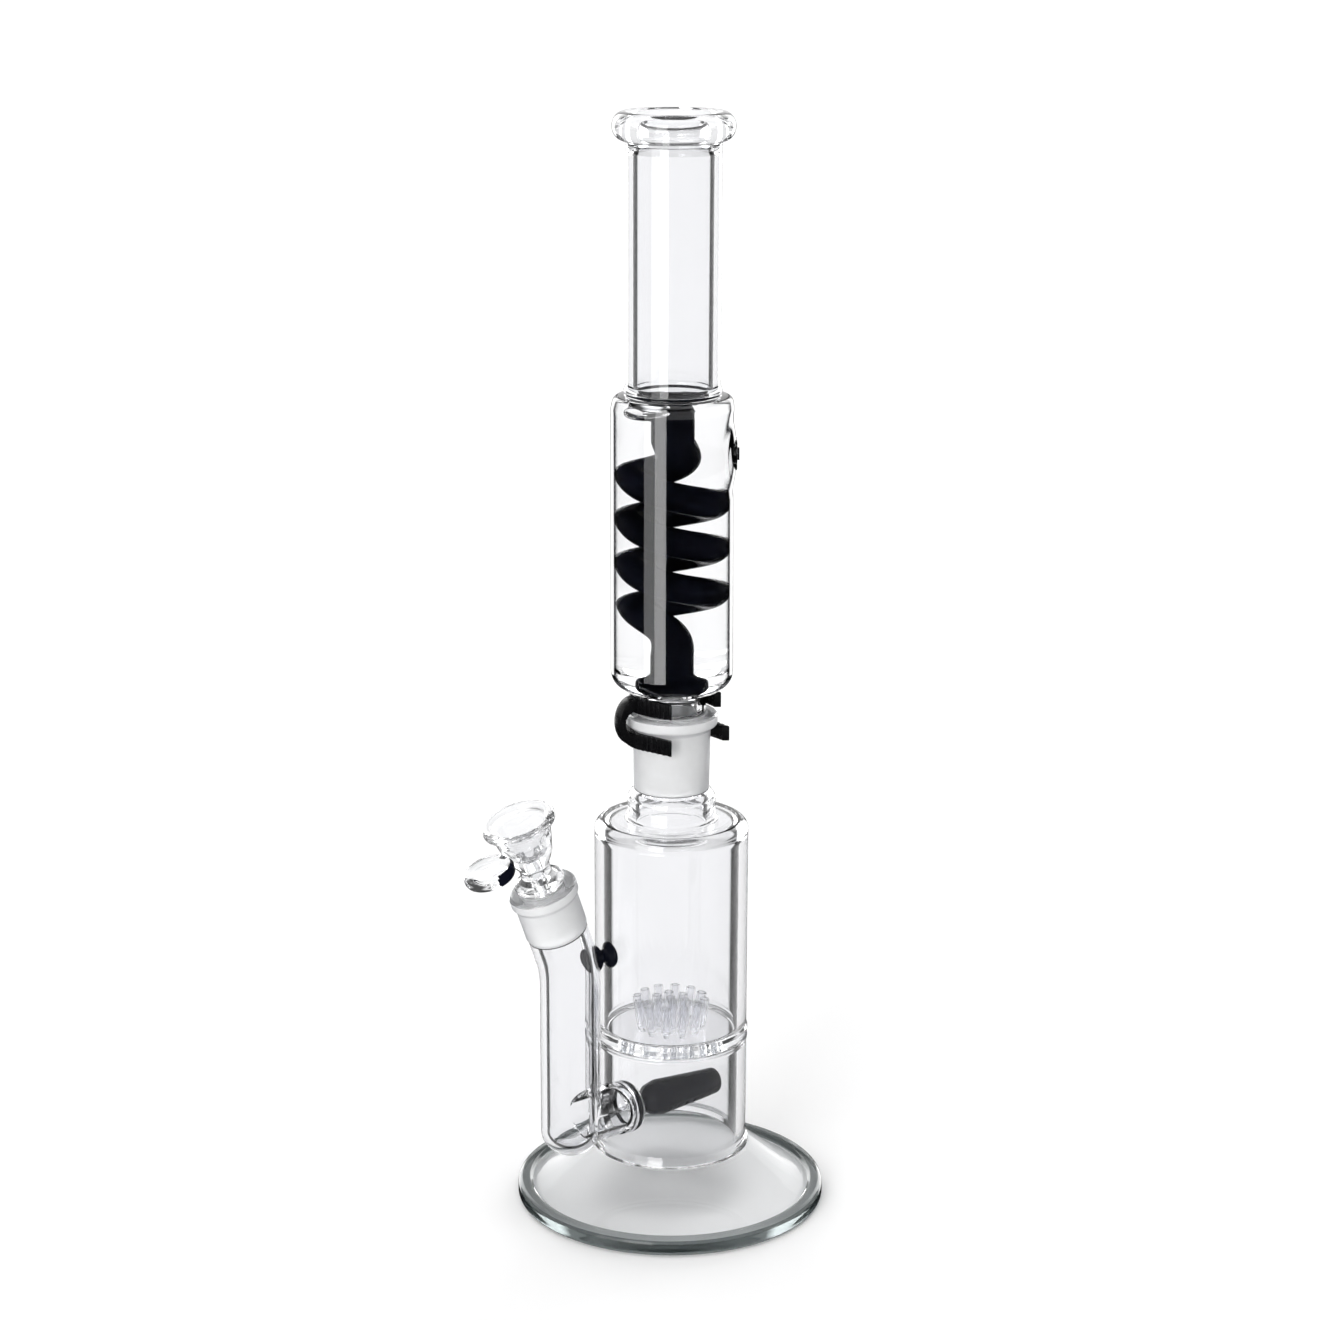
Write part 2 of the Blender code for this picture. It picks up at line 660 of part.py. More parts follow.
def make_mouthpiece():
    """The straight neck tube with its floor, and the rolled lip on top."""
    glass = clear_glass("mouthpiece_glass")
    bottom = JACKET_TOP + GAP
    bore = MOUTH_TUBE_R - MOUTH_TUBE_WALL
    bead = 1.1 * MM
    outer = [
        (MOUTH_TUBE_R + 1.3 * MM, MOUTH_TUBE_TOP),
        (MOUTH_TUBE_R, MOUTH_TUBE_TOP - 3.5 * MM),
        (MOUTH_TUBE_R, bottom + 5.0 * MM),
        (MOUTH_TUBE_R + bead, bottom + 2.6 * MM),
        (MOUTH_TUBE_R + 0.4 * MM, bottom),
    ]
    floor_top = bottom + 2.6 * MM
    inner = [
        (COIL_BORE_R, bottom),
        (COIL_BORE_R, floor_top),
        (bore - 3.0 * MM, floor_top + 0.3 * MM),
        (bore, floor_top + 3.2 * MM),
        (bore, MOUTH_TUBE_TOP - 5.0 * MM),
        (LIP_BORE_R, MOUTH_TUBE_TOP),
    ]
    bored("mouthpiece_tube", outer, inner, glass)
    lip_bottom = MOUTH_TUBE_TOP + GAP
    half_height = (LIP_TOP - lip_bottom) / 2
    half_width = (LIP_R - LIP_BORE_R) / 2
    center = ((LIP_R + LIP_BORE_R) / 2, lip_bottom + half_height)
    ring = arc(center, (half_width, half_height), 90, -240, 12)
    turned("mouth_lip", ring, glass)


def arm_stations(inset):
    """The side arm's centre line and radius, from its domed bottom to its upper end."""
    radius = ARM_R - inset
    dome_top = ARM_BOTTOM + ARM_DOME
    stations = []
    for angle in (84, 66, 48, 30, 15, 0):
        turn = math.radians(angle)
        height = dome_top - (ARM_DOME - inset) * math.sin(turn)
        stations.append((Vector((ARM_X, 0.0, height)), radius * math.cos(turn)))
    tangent = ARM_BEND_R * math.tan(lean() / 2)
    bend_center = Vector((ARM_X - ARM_BEND_R, 0.0, ARM_BEND_Z - tangent))
    for index in range(6):
        angle = lean() * index / 5
        reach = Vector((math.cos(angle), 0.0, math.sin(angle))) * ARM_BEND_R
        stations.append((bend_center + reach, radius))
    past_end = 4 * MM if inset else 0.0
    stations.append((lean_point(ARM_END + past_end), radius))
    return stations


def make_side_arm():
    """The bent tube that carries the bowl, with a domed bottom and a bore into the cross tube."""
    arm = swept("side_arm", arm_stations(0.0), clear_glass("side_arm_glass"), resolution=5)
    boolean(arm, swept("side_arm_bore", arm_stations(ARM_WALL), resolution=5, cutter=True))
    hole = cylinder_cutter("side_arm_port", CROSS_R - CROSS_WALL, 0.0, 20 * MM)
    place(hole, (ARM_X, 0.0, CROSS_Z), (0.0, math.radians(90), 0.0))
    boolean(arm, hole)


def make_cross_tube():
    """The clear tube from the arm through the chamber wall, domed where the diffuser joins it."""
    dome = 6.0 * MM
    tip = CROSS_INNER_END
    shoulder = tip - dome
    start = ARM_X + 4 * MM
    hole_r = 2.3 * MM
    outer = arc((hole_r + 1.6 * MM, shoulder), (CROSS_R - hole_r - 1.6 * MM, dome), 90, 0, 5)
    outer.append((CROSS_R, start))
    inner_r = CROSS_R - CROSS_WALL
    inner = [(inner_r, start)]
    inner += arc((hole_r, shoulder), (inner_r - hole_r, dome - CROSS_WALL), 0, 90, 4)
    tube = bored("cross_tube", [(hole_r, tip)] + outer, inner, clear_glass("cross_tube_glass"))
    place(tube, (0.0, 0.0, CROSS_Z), (0.0, math.radians(90), 0.0))
    room = cylinder_cutter("side_arm_room", ARM_R + GAP, 20 * MM, 80 * MM)
    place(room, (ARM_X, 0.0, 0.0))
    boolean(tube, room)


def make_diffuser():
    """The black inline diffuser, a closed tapering tube with slits along its underside."""
    length = DIFFUSER_END - DIFFUSER_START
    full_r, end_r, neck_r, bore_r = 7.75 * MM, 5.5 * MM, 3.7 * MM, 1.6 * MM
    round_r = 2.2 * MM
    outer = [(0.0, length)]
    outer += arc((end_r - round_r, length - round_r), (round_r, round_r), 90, 0, 3)
    outer += [(full_r, 10.5 * MM), (full_r - 0.9 * MM, 7.0 * MM), (neck_r + 0.6 * MM, 3.6 * MM)]
    outer += [(neck_r, 2.2 * MM), (neck_r, 0.0)]
    inner = [
        (bore_r, 0.0),
        (bore_r, 3.4 * MM),
        (full_r - DIFFUSER_WALL, 10.5 * MM),
        (end_r - DIFFUSER_WALL, length - round_r),
        (end_r - DIFFUSER_WALL - 1.5 * MM, length - DIFFUSER_WALL),
        (0.0, length - DIFFUSER_WALL),
    ]
    glass = black_glass("diffuser_glass")
    diffuser = turned("inline_diffuser", outer + inner, glass, closed=False, steps=SMALL_STEPS)
    place(diffuser, (DIFFUSER_START, 0.0, CROSS_Z), (0.0, math.radians(90), 0.0))
    slits = bmesh.new()
    size = Matrix.Diagonal((*DIFFUSER_SLIT_SIZE, 1.0))
    tilt = Matrix.Rotation(math.radians(DIFFUSER_SLIT_TILT_DEG), 4, "Y")
    for index in range(DIFFUSER_SLITS):
        along = DIFFUSER_START + DIFFUSER_FIRST_SLIT + index * DIFFUSER_SLIT_PITCH
        spot = Matrix.Translation((along, 0.0, CROSS_Z - DIFFUSER_SLIT_DROP))
        bmesh.ops.create_cube(slits, matrix=spot @ tilt @ size)
    mesh = bpy.data.meshes.new("diffuser_slits")
    slits.to_mesh(mesh)
    slits.free()
    boolean(diffuser, link("diffuser_slits", mesh, None, cutter=True))


def make_strut():
    """The solid black rod that ties the arm to the chamber, spread into a pad at each wall."""
    start, end = ARM_X, -chamber_bore()
    arm_face, chamber_face = ARM_X + ARM_R, -CHAMBER_R
    middle = (arm_face + chamber_face) / 2
    half = (chamber_face - arm_face) / 2
    profile = [(0.0, end), (STRUT_PAD_R, end), (STRUT_PAD_R, chamber_face - 0.6 * MM)]
    profile += [(STRUT_ROD_R + 0.7 * MM, middle + 0.5 * half), (STRUT_ROD_R, middle)]
    profile += [(STRUT_ROD_R + 0.7 * MM, middle - 0.5 * half), (STRUT_PAD_R, arm_face + 0.6 * MM)]
    profile += [(STRUT_PAD_R, start), (0.0, start)]
    strut = turned("bridge_strut", profile, black_glass("strut_glass"), closed=False, steps=SMALL_STEPS)
    place(strut, (0.0, 0.0, STRUT_Z), (0.0, math.radians(90), 0.0))
    wall = cylinder_cutter("chamber_room", CHAMBER_R + GAP, STRUT_Z - 17 * MM, STRUT_Z + 17 * MM)
    boolean(strut, wall)
    stations = [(point, radius + GAP) for point, radius in arm_stations(0.0)]
    boolean(strut, swept("arm_room", stations, resolution=5, cutter=True))


def leaning(name, distance):
    """An empty on the leaning axis, with its +Z along that axis."""
    return empty(name, lean_point(distance), (0.0, -lean(), 0.0))


def socket_bore(height):
    """Radius of the small ground socket at a distance below its top, given as a negative height."""
    return BOWL_CONE_R + GAP + 0.05 * height


def make_arm_socket():
    """The ground socket that takes the bowl."""
    axis = leaning("arm_socket_axis", SOCKET_START + SOCKET_LENGTH)
    low = -SOCKET_LENGTH
    flange = -SOCKET_FLANGE_LENGTH
    edge = 1.3 * MM
    outer = [
        (SOCKET_FLANGE_R - edge, 0.0),
        (SOCKET_FLANGE_R, -edge),
        (SOCKET_FLANGE_R, flange + 1.2 * MM),
        (SOCKET_BODY_R, flange - 0.8 * MM),
        (SOCKET_BODY_R, low + 2.0 * MM),
        (ARM_R, low),
    ]
    inner = [(socket_bore(low), low), (socket_bore(0.0), 0.0)]
    place(bored("arm_socket", outer, inner, frosted_glass("arm_socket_glass")), parent=axis)


def cup_side(growth=0.0):
    """Outer side of the bowl's cup, from just under its rim to its foot."""
    points = [
        (BOWL_RIM_R - 2.9 * MM, BOWL_RIM_TOP - 4.0 * MM),
        (BOWL_RIM_R - 4.2 * MM, BOWL_CUP_BOTTOM + 9.0 * MM),
        (BOWL_FOOT_R + 1.2 * MM, BOWL_CUP_BOTTOM + 2.4 * MM),
        (BOWL_FOOT_R, BOWL_CUP_BOTTOM),
    ]
    return [(radius + growth, height) for radius, height in points]


def make_bowl():
    """The bowl that lifts out: cup, neck, ground cone and the round handle."""
    axis = leaning("bowl_axis", SOCKET_START + SOCKET_LENGTH)
    glass = clear_glass("bowl_glass")
    rim = 1.9 * MM
    hole_r = 2.4 * MM
    outer = arc((BOWL_RIM_R - rim, BOWL_RIM_TOP - rim), (rim, rim), 120, -50, 6) + cup_side()
    inner = [
        (hole_r, BOWL_CUP_BOTTOM),
        (hole_r, BOWL_CUP_BOTTOM + 2.6 * MM),
        (BOWL_FOOT_R - 2.4 * MM, BOWL_CUP_BOTTOM + 3.6 * MM),
        (BOWL_RIM_R - 6.9 * MM, BOWL_CUP_BOTTOM + 9.6 * MM),
        (BOWL_RIM_R - 4.4 * MM, BOWL_RIM_TOP - 2.6 * MM),
    ]
    place(bored("bowl_cup", outer, inner, glass, steps=SMALL_STEPS), parent=axis)

    outer = [
        (BOWL_FOOT_R - 0.4 * MM, BOWL_NECK_TOP),
        (6.6 * MM, BOWL_NECK_TOP - 2.4 * MM),
        (6.4 * MM, 7.2 * MM),
        (8.6 * MM, 5.0 * MM),
        (10.6 * MM, 3.6 * MM),
        (10.6 * MM, 2.0 * MM),
        (BOWL_CONE_R, GAP),
    ]
    inner = [(hole_r, GAP), (hole_r, BOWL_NECK_TOP)]
    place(bored("bowl_neck", outer, inner, glass, steps=SMALL_STEPS), parent=axis)

    low = -BOWL_CONE_LENGTH
    outer = [(BOWL_CONE_R, 0.0), (BOWL_CONE_R + 0.05 * low, low)]
    inner = [(BOWL_CONE_BORE_R, low), (BOWL_CONE_BORE_R, -3.0 * MM), (hole_r, 0.0)]
    place(bored("bowl_cone", outer, inner, frosted_glass("bowl_cone_glass")), parent=axis)

    half = HANDLE_THICKNESS / 2
    edge = 2.8 * MM
    profile = [(0.0, half - 0.5 * MM), (0.5 * HANDLE_R, half - 0.2 * MM)]
    profile += arc((HANDLE_R - edge, 0.0), (edge, half), 80, -80, 7)
    profile += [(0.5 * HANDLE_R, 0.2 * MM - half), (0.0, 0.5 * MM - half)]
    handle = turned("bowl_handle", profile, glass, closed=False, steps=SMALL_STEPS)
    place(handle, (-HANDLE_REACH, 0.0, HANDLE_HEIGHT), parent=axis)
    side = [(0.0, BOWL_RIM_TOP)] + cup_side(GAP) + [(0.0, BOWL_CUP_BOTTOM - 0.2 * MM)]
    room = turned("bowl_cup_room", side, closed=False, steps=SMALL_STEPS, cutter=True)
    boolean(handle, place(room, parent=axis))


def clip_ring(name, bottom, top, inner_r, flare, material):
    """One open ring of the clip: its ends spread outward and are ribbed on the outside."""
    half_turn = 180.0 - CLIP_OPENING_HALF_DEG
    count = 24

    def reach(turn):
        past = max(0.0, abs(turn) - (half_turn - CLIP_FLARE_DEG)) / CLIP_FLARE_DEG
        return inner_r + flare * past * past

    def spoke(radius, turn):
        angle = math.radians(CLIP_OPENING_DEG + 180.0 + turn)
        return (radius * math.cos(angle), radius * math.sin(angle))

    turns = [-half_turn + 2 * half_turn * index / count for index in range(count + 1)]
    outline = [spoke(reach(turn), turn) for turn in turns]
    rib_pitch = CLIP_RIBBED_DEG / CLIP_RIBS
    outer = []
    for end in (1, -1):
        for rib in range(CLIP_RIBS):
            start = half_turn - 3.0 - rib * rib_pitch
            for share, low in ((0.0, 0), (0.15, 1), (0.5, 1), (0.65, 0)):
                turn = end * (start - share * rib_pitch)
                outer.append((turn, reach(turn) + CLIP_BAND - CLIP_RIB_DEPTH * low))
    plain = half_turn - 3.0 - CLIP_RIBBED_DEG
    outer += [(turn, reach(turn) + CLIP_BAND) for turn in turns if abs(turn) < plain]
    outer += [(end * half_turn, reach(half_turn) + CLIP_BAND) for end in (1, -1)]
    outline += [spoke(radius, turn) for turn, radius in sorted(outer, reverse=True)]
    ring = plate(name, outline, top - bottom, material)
    return as_mesh(place(ring, (0.0, 0.0, (bottom + top) / 2)))


def clip_bridge(name, bearing_deg, material):
    """A springy C of flat band between the two rings, its outline in a radial plane."""
    low_mid = (CLIP_LOWER[0] + CLIP_LOWER[1]) / 2
    high_mid = (CLIP_UPPER[0] + CLIP_UPPER[1]) / 2
    middle = (low_mid + high_mid) / 2
    center = (CLIP_BRIDGE_MIDDLE_R, middle)
    outer_bulge, inner_bulge = CLIP_BRIDGE_BULGE
    outer = arc(center, (outer_bulge, middle - CLIP_LOWER[0]), -90, 90, 11)
    inner = arc(center, (inner_bulge, middle - CLIP_LOWER[1] + 1.4 * MM), 90, -90, 11)
    bridge = place(plate(name, outer + inner, CLIP_BRIDGE_WIDTH, material))
    bridge.rotation_euler = (math.radians(90), 0.0, math.radians(bearing_deg))
    bpy.context.view_layer.update()
    return as_mesh(bridge)


def make_clip():
    """The plastic clip that keeps the condenser down on the base."""
    plastic = black_plastic("clip_plastic")
    clip = clip_ring("joint_clip", *CLIP_LOWER, plastic)
    others = [clip_ring("clip_upper_ring", *CLIP_UPPER, plastic)]
    for index, side in enumerate((-1, 1)):
        bearing = CLIP_OPENING_DEG + side * CLIP_BRIDGE_DEG
        others.append(clip_bridge(f"clip_bridge_{index + 1}", bearing, plastic))
    keep_out = [
        (0.0, CLIP_UPPER[1] + 1 * MM),
        (CLIP_UPPER[2], CLIP_UPPER[1] + 1 * MM),
        (CLIP_UPPER[2], CLIP_UPPER[0]),
        (FLANGE_R + 0.5 * MM, CLIP_UPPER[0] - 0.1 * MM),
        (FLANGE_R + 0.5 * MM, FLANGE_BOTTOM - 0.3 * MM),
        (CLIP_LOWER[2], CLIP_LOWER[1]),
        (CLIP_LOWER[2], CLIP_LOWER[0] - 1 * MM),
        (0.0, CLIP_LOWER[0] - 1 * MM),
    ]
    for other in others:
        PARTS.objects.unlink(other)
        CUTTERS.objects.link(other)
        other.hide_render = True
        other.display_type = "WIRE"
        boolean(clip, other, "UNION")
    boolean(clip, turned("clip_room", keep_out, closed=False, steps=64, cutter=True))


def main():
    make_foot()
    make_lower_chamber()
    make_perc_disc()
    make_pillars()
    make_upper_chamber()
    make_chamber_neck()
    make_base_joint_socket()
    make_side_arm()
    make_arm_socket()
    make_cross_tube()
    make_diffuser()
    make_strut()
    make_condenser_cone()
    make_condenser_neck()
    make_condenser_jacket()
    make_coil()
    make_coil_ends()
    make_coolant()
    make_fill_port()
    make_fill_plug()
    make_mouthpiece()
    make_bowl()
    make_clip()


main()
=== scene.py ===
"""Looks of the glass water pipe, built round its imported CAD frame. Metres, +Z up, the foot on z = 0."""

import math

import bmesh
import bpy
from mathutils import Matrix, Quaternion, Vector


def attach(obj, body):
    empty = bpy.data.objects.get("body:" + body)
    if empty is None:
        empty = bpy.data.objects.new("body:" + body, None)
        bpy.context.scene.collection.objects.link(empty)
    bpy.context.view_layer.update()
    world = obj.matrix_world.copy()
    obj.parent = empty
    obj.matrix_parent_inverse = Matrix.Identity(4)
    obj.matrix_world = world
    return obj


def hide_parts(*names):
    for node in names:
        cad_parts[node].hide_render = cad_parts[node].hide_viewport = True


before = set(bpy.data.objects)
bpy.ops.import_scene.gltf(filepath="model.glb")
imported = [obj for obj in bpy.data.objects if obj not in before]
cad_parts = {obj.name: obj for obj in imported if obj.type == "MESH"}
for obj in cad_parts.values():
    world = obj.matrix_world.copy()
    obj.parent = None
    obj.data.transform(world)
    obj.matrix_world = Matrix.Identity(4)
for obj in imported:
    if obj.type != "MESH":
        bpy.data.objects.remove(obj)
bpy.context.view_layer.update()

MM = 0.001
GAP = 0.3  # mm left between pieces that are ground or fused together in the real object

# Dimensions in millimetres, the same as in the CAD source
FOOT_R, FOOT_TOP = 66.5, 24.3
CHAMBER_R, CHAMBER_WALL = 32.7, 3.9
DISC_BOTTOM, DISC_TOP = 73.1, 78.7
SHOULDER_TOP = 172.0
PILLAR_R, PILLAR_BORE_R, PILLAR_HEIGHT, PILLAR_FLARE = 2.1, 1.3, 12.0, math.radians(8)
PILLAR_RINGS = ((0.0, 1), (6.5, 6), (13.0, 12))
NECK_R, NECK_WALL = 18.7, 3.4
JOINT_BOTTOM, JOINT_TOP, FLANGE_BOTTOM, FLANGE_R = 185.3, 218.6, 212.6, 19.3
CONE_BOTTOM, CONE_BOTTOM_R, CONE_TOP_R, CONE_BORE_R = 186.6, 12.95, 14.55, 10.6
CONDENSER_NECK_R = 14.3
JACKET_R, JACKET_WALL, JACKET_BOTTOM, JACKET_TOP = 25.6, 2.5, 228.8, 353.0
COIL_TUBE_R, COIL_BORE_R, COIL_HELIX_R, COIL_PITCH, COIL_FULL_DEG = 6.1, 3.9, 10.4, 18.9, 1037.0
COIL_FIRST_Z, COIL_FIRST_DEG = 319.4, 128.7
COIL_OPENING = (126.0, 9.2, 1.66, 3.2)  # turn in degrees, extra drop, power of the radius, power of the drop
COIL_CLOSING = (170.0, 11.2, 1.3, 3.9)
COIL_END_TOP, COIL_END_BOTTOM, COIL_FLARE_R = 345.2, 237.0, 10.2
PORT_Z, PORT_BEARING = 329.0, math.radians(-37)
MOUTH_R, MOUTH_WALL, MOUTH_TOP = 19.5, 3.1, 456.5
LIP_TOP, LIP_R, LIP_BORE_R = 468.3, 25.0, 14.8
ARM_X, ARM_R, ARM_WALL, ARM_BOTTOM, ARM_DOME = -52.9, 12.75, 2.6, 31.5, 11.0
ARM_BEND_Z, ARM_BEND_R, ARM_LEAN, ARM_END = 116.0, 45.0, math.radians(20.3), 18.1
SOCKET_START, SOCKET_LENGTH = 18.4, 22.6
CROSS_Z, CROSS_R, CROSS_WALL, CROSS_END = 46.0, 11.2, 2.3, -18.6
DIFFUSER_START, DIFFUSER_END = -18.2, 26.0
STRUT_Z = 117.0
CLIP_OPENING_DEG, CLIP_OPENING_HALF_DEG, CLIP_BAND = 278.0, 45.0, 2.8
CLIP_LOWER = (205.7, 212.2, 16.9, 4.6)
CLIP_UPPER = (220.4, 227.0, 15.1, 2.8)
CLIP_BRIDGE_DEG, CLIP_BRIDGE_WIDTH = 110.0, 7.0


# ---------------------------------------------------------------- materials


CLEAR = (0.912, 0.914, 0.926)  # what an ordinary clear surface lets through
WHITE = (1.0, 1.0, 1.0)


def new_material(name):
    material = bpy.data.materials.new(name)
    material.use_nodes = True
    tree = material.node_tree
    return material, tree, tree.nodes["Principled BSDF"]


def noise(tree, scale, detail=3.0, rough=0.5):
    coords = tree.nodes.new("ShaderNodeTexCoord")
    texture = tree.nodes.new("ShaderNodeTexNoise")
    texture.inputs["Scale"].default_value = scale
    texture.inputs["Detail"].default_value = detail
    texture.inputs["Roughness"].default_value = rough
    tree.links.new(coords.outputs["Object"], texture.inputs["Vector"])
    return texture.outputs["Fac"]


def ramp(tree, factor, stops):
    node = tree.nodes.new("ShaderNodeValToRGB")
    elements = node.color_ramp.elements
    while len(elements) < len(stops):
        elements.new(0.5)
    for element, (position, color) in zip(elements, stops):
        element.position = position
        element.color = (*color, 1.0)
    tree.links.new(factor, node.inputs["Fac"])
    return node.outputs["Color"]


def map_range(tree, value, low, high, to_low=0.0, to_high=1.0):
    node = tree.nodes.new("ShaderNodeMapRange")
    node.inputs["From Min"].default_value = low
    node.inputs["From Max"].default_value = high
    node.inputs["To Min"].default_value = to_low
    node.inputs["To Max"].default_value = to_high
    tree.links.new(value, node.inputs["Value"])
    return node.outputs["Result"]


def bump(tree, shader, height, strength, distance):
    node = tree.nodes.new("ShaderNodeBump")
    node.inputs["Strength"].default_value = strength
    node.inputs["Distance"].default_value = distance
    tree.links.new(height, node.inputs["Height"])
    tree.links.new(node.outputs["Normal"], shader.inputs["Normal"])


def multiply(tree, first, second):
    node = tree.nodes.new("ShaderNodeMix")
    node.data_type = "RGBA"
    node.blend_type = "MULTIPLY"
    node.inputs["Factor"].default_value = 1.0
    tree.links.new(first, node.inputs[6])
    tree.links.new(second, node.inputs[7])
    return node.outputs[2]


def facing(tree):
    """1 - cosine of the angle between the surface and the viewer."""
    weight = tree.nodes.new("ShaderNodeLayerWeight")
    weight.inputs["Blend"].default_value = 0.5
    return weight.outputs["Facing"]


def painted_edge_shade(tree, edge, darkest):
    """Painted edge shade, multiplied into the glass's colour as it turns edge-on: none up to edge[0], darkest
    from edge[1] on.
    """
    return ramp(tree, facing(tree), [(edge[0], WHITE), (edge[1], (darkest, darkest, darkest * 1.1))])


def clear_glass(name, tint=CLEAR, edge=None, darkest=0.0, wave=0.04, ior=1.47):
    """Lamp-worked borosilicate: clear, with faint streaks and waves from the flame."""
    material, tree, shader = new_material(name)
    shader.inputs["Transmission Weight"].default_value = 1.0
    shader.inputs["IOR"].default_value = ior
    streaks = noise(tree, 22.0, 2.0)
    warm = tuple(min(1.0, channel + 0.010) for channel in tint)
    color = ramp(tree, streaks, [(0.3, tint), (0.7, warm)])
    # edge multiplies painted edge shade into the colour, darkening the glass towards edge-on.
    if edge:
        color = multiply(tree, color, painted_edge_shade(tree, edge, darkest))
    tree.links.new(color, shader.inputs["Base Color"])
    tree.links.new(map_range(tree, noise(tree, 60.0), 0.3, 0.8, 0.0, 0.012), shader.inputs["Roughness"])
    bump(tree, shader, noise(tree, 45.0, 1.0), wave, 0.0006)
    return material


def ground_glass(name, tint=(0.97, 0.975, 0.98), rough=0.42):
    """Ground joint glass: satin, with fine grinding rings round it and a fine grain."""
    material, tree, shader = new_material(name)
    shader.inputs["Transmission Weight"].default_value = 0.55
    shader.inputs["IOR"].default_value = 1.47
    grain = noise(tree, 900.0, 4.0)
    coords = tree.nodes.new("ShaderNodeTexCoord")
    rings = tree.nodes.new("ShaderNodeTexWave")
    rings.bands_direction = "Z"
    rings.inputs["Scale"].default_value = 260.0
    rings.inputs["Distortion"].default_value = 3.0
    rings.inputs["Detail"].default_value = 2.0
    tree.links.new(coords.outputs["Object"], rings.inputs["Vector"])
    darker = tuple(channel * 0.93 for channel in tint)
    color = ramp(tree, noise(tree, 120.0), [(0.35, darker), (0.65, tint)])
    # Painted shade: the joint glass is darkened towards edge-on by facing.
    painted_side_shade = ramp(tree, facing(tree), [(0.30, WHITE), (0.62, (0.84, 0.84, 0.85)), (0.90, (0.56, 0.56, 0.58))])
    tree.links.new(multiply(tree, color, painted_side_shade), shader.inputs["Base Color"])
    roughness = map_range(tree, rings.outputs["Fac"], 0.0, 1.0, rough - 0.05, rough + 0.07)
    tree.links.new(roughness, shader.inputs["Roughness"])
    bump(tree, shader, grain, 0.12, 0.0002)
    return material


def black_glass(name, rough=0.04, ior=1.5):
    """Opaque black glass with a faint blue cast and flame-polished unevenness."""
    material, tree, shader = new_material(name)
    shader.inputs["IOR"].default_value = ior
    color = ramp(tree, noise(tree, 40.0), [(0.35, (0.0022, 0.0026, 0.005)), (0.7, (0.006, 0.007, 0.014))])
    tree.links.new(color, shader.inputs["Base Color"])
    roughness = map_range(tree, noise(tree, 120.0), 0.3, 0.7, rough, rough + 0.05)
    tree.links.new(roughness, shader.inputs["Roughness"])
    bump(tree, shader, noise(tree, 90.0, 2.0), 0.08, 0.0005)
    return material


def moulded(name, rough, grain_scale, grain, ior):
    """Black moulded plastic or rubber with a fine grain."""
    material, tree, shader = new_material(name)
    shader.inputs["IOR"].default_value = ior
    shader.inputs["Specular IOR Level"].default_value = 0.15
    color = ramp(tree, noise(tree, 300.0), [(0.3, (0.0025, 0.0025, 0.003)), (0.75, (0.006, 0.006, 0.0065))])
    tree.links.new(color, shader.inputs["Base Color"])
    roughness = map_range(tree, noise(tree, 500.0), 0.3, 0.7, rough, rough + 0.12)
    tree.links.new(roughness, shader.inputs["Roughness"])
    bump(tree, shader, noise(tree, grain_scale, 4.0), grain, 0.0003)
    return material


# Where the painted edge shade on glass starts and where it is darkest, in facing. All are past 0.5, so that
# the middle of an upright wall stays clear from up to 60 degrees above
BORE_EDGE = (0.51, 0.57)
SOLID_EDGE = (0.53, 0.62)
THIN_EDGE = (0.60, 0.85)
LIP_EDGE = (0.62, 0.95)

OUTER_GLASS = clear_glass("outer_glass")
BORE_GLASS = clear_glass("bore_glass", edge=BORE_EDGE)
DISC_GLASS = clear_glass("disc_glass", tint=(0.86, 0.87, 0.88), edge=THIN_EDGE, darkest=0.35)
DRILLED_GLASS = clear_glass("drilled_glass", tint=(0.62, 0.63, 0.65))
MOUTH_FLOOR_GLASS = clear_glass("mouthpiece_floor_glass", tint=(0.80, 0.81, 0.82), ior=1.02)
JACKET_GLASS = clear_glass("jacket_glass", edge=SOLID_EDGE, darkest=0.01)
LIP_GLASS = clear_glass("lip_glass", edge=LIP_EDGE, darkest=0.01)
WETTED_GLASS = clear_glass("wetted_wall", tint=WHITE, wave=0.0, ior=1.0)  # glass on glycerin bends nothing
LIQUID_SURFACE = clear_glass("liquid_surface", tint=WHITE, edge=THIN_EDGE, darkest=0.01, wave=0.0)
FOOT_GLASS = clear_glass("foot_glass", tint=(0.975, 0.98, 0.985), ior=1.08)
# Painted shade: the foot's rim top and outer side are tinted dark glass, for the dark bands the thick rim
# gets from refraction.
RIM_TOP_PAINTED_SHADE, RIM_SIDE_PAINTED_SHADE = (0.22, 0.24, 0.24), (0.030, 0.038, 0.038)
RIM_TOP_SHADED_GLASS = clear_glass("foot_rim_painted_shade_glass", tint=RIM_TOP_PAINTED_SHADE, edge=THIN_EDGE, darkest=0.02, ior=1.3)
RIM_SIDE_SHADED_GLASS = clear_glass("foot_side_painted_shade_glass", tint=RIM_SIDE_PAINTED_SHADE, edge=THIN_EDGE, darkest=0.02, ior=1.3)
BOWL_GLASS = clear_glass("bowl_glass", tint=(0.85, 0.855, 0.865), edge=THIN_EDGE, darkest=0.001)
HANDLE_GLASS = clear_glass("handle_glass", tint=(0.90, 0.905, 0.915), edge=THIN_EDGE, darkest=0.02)
SMALL_GLASS = clear_glass("pillar_glass", wave=0.0, edge=THIN_EDGE, darkest=0.05)
JOINT_GLASS = ground_glass("ground_joint_glass")
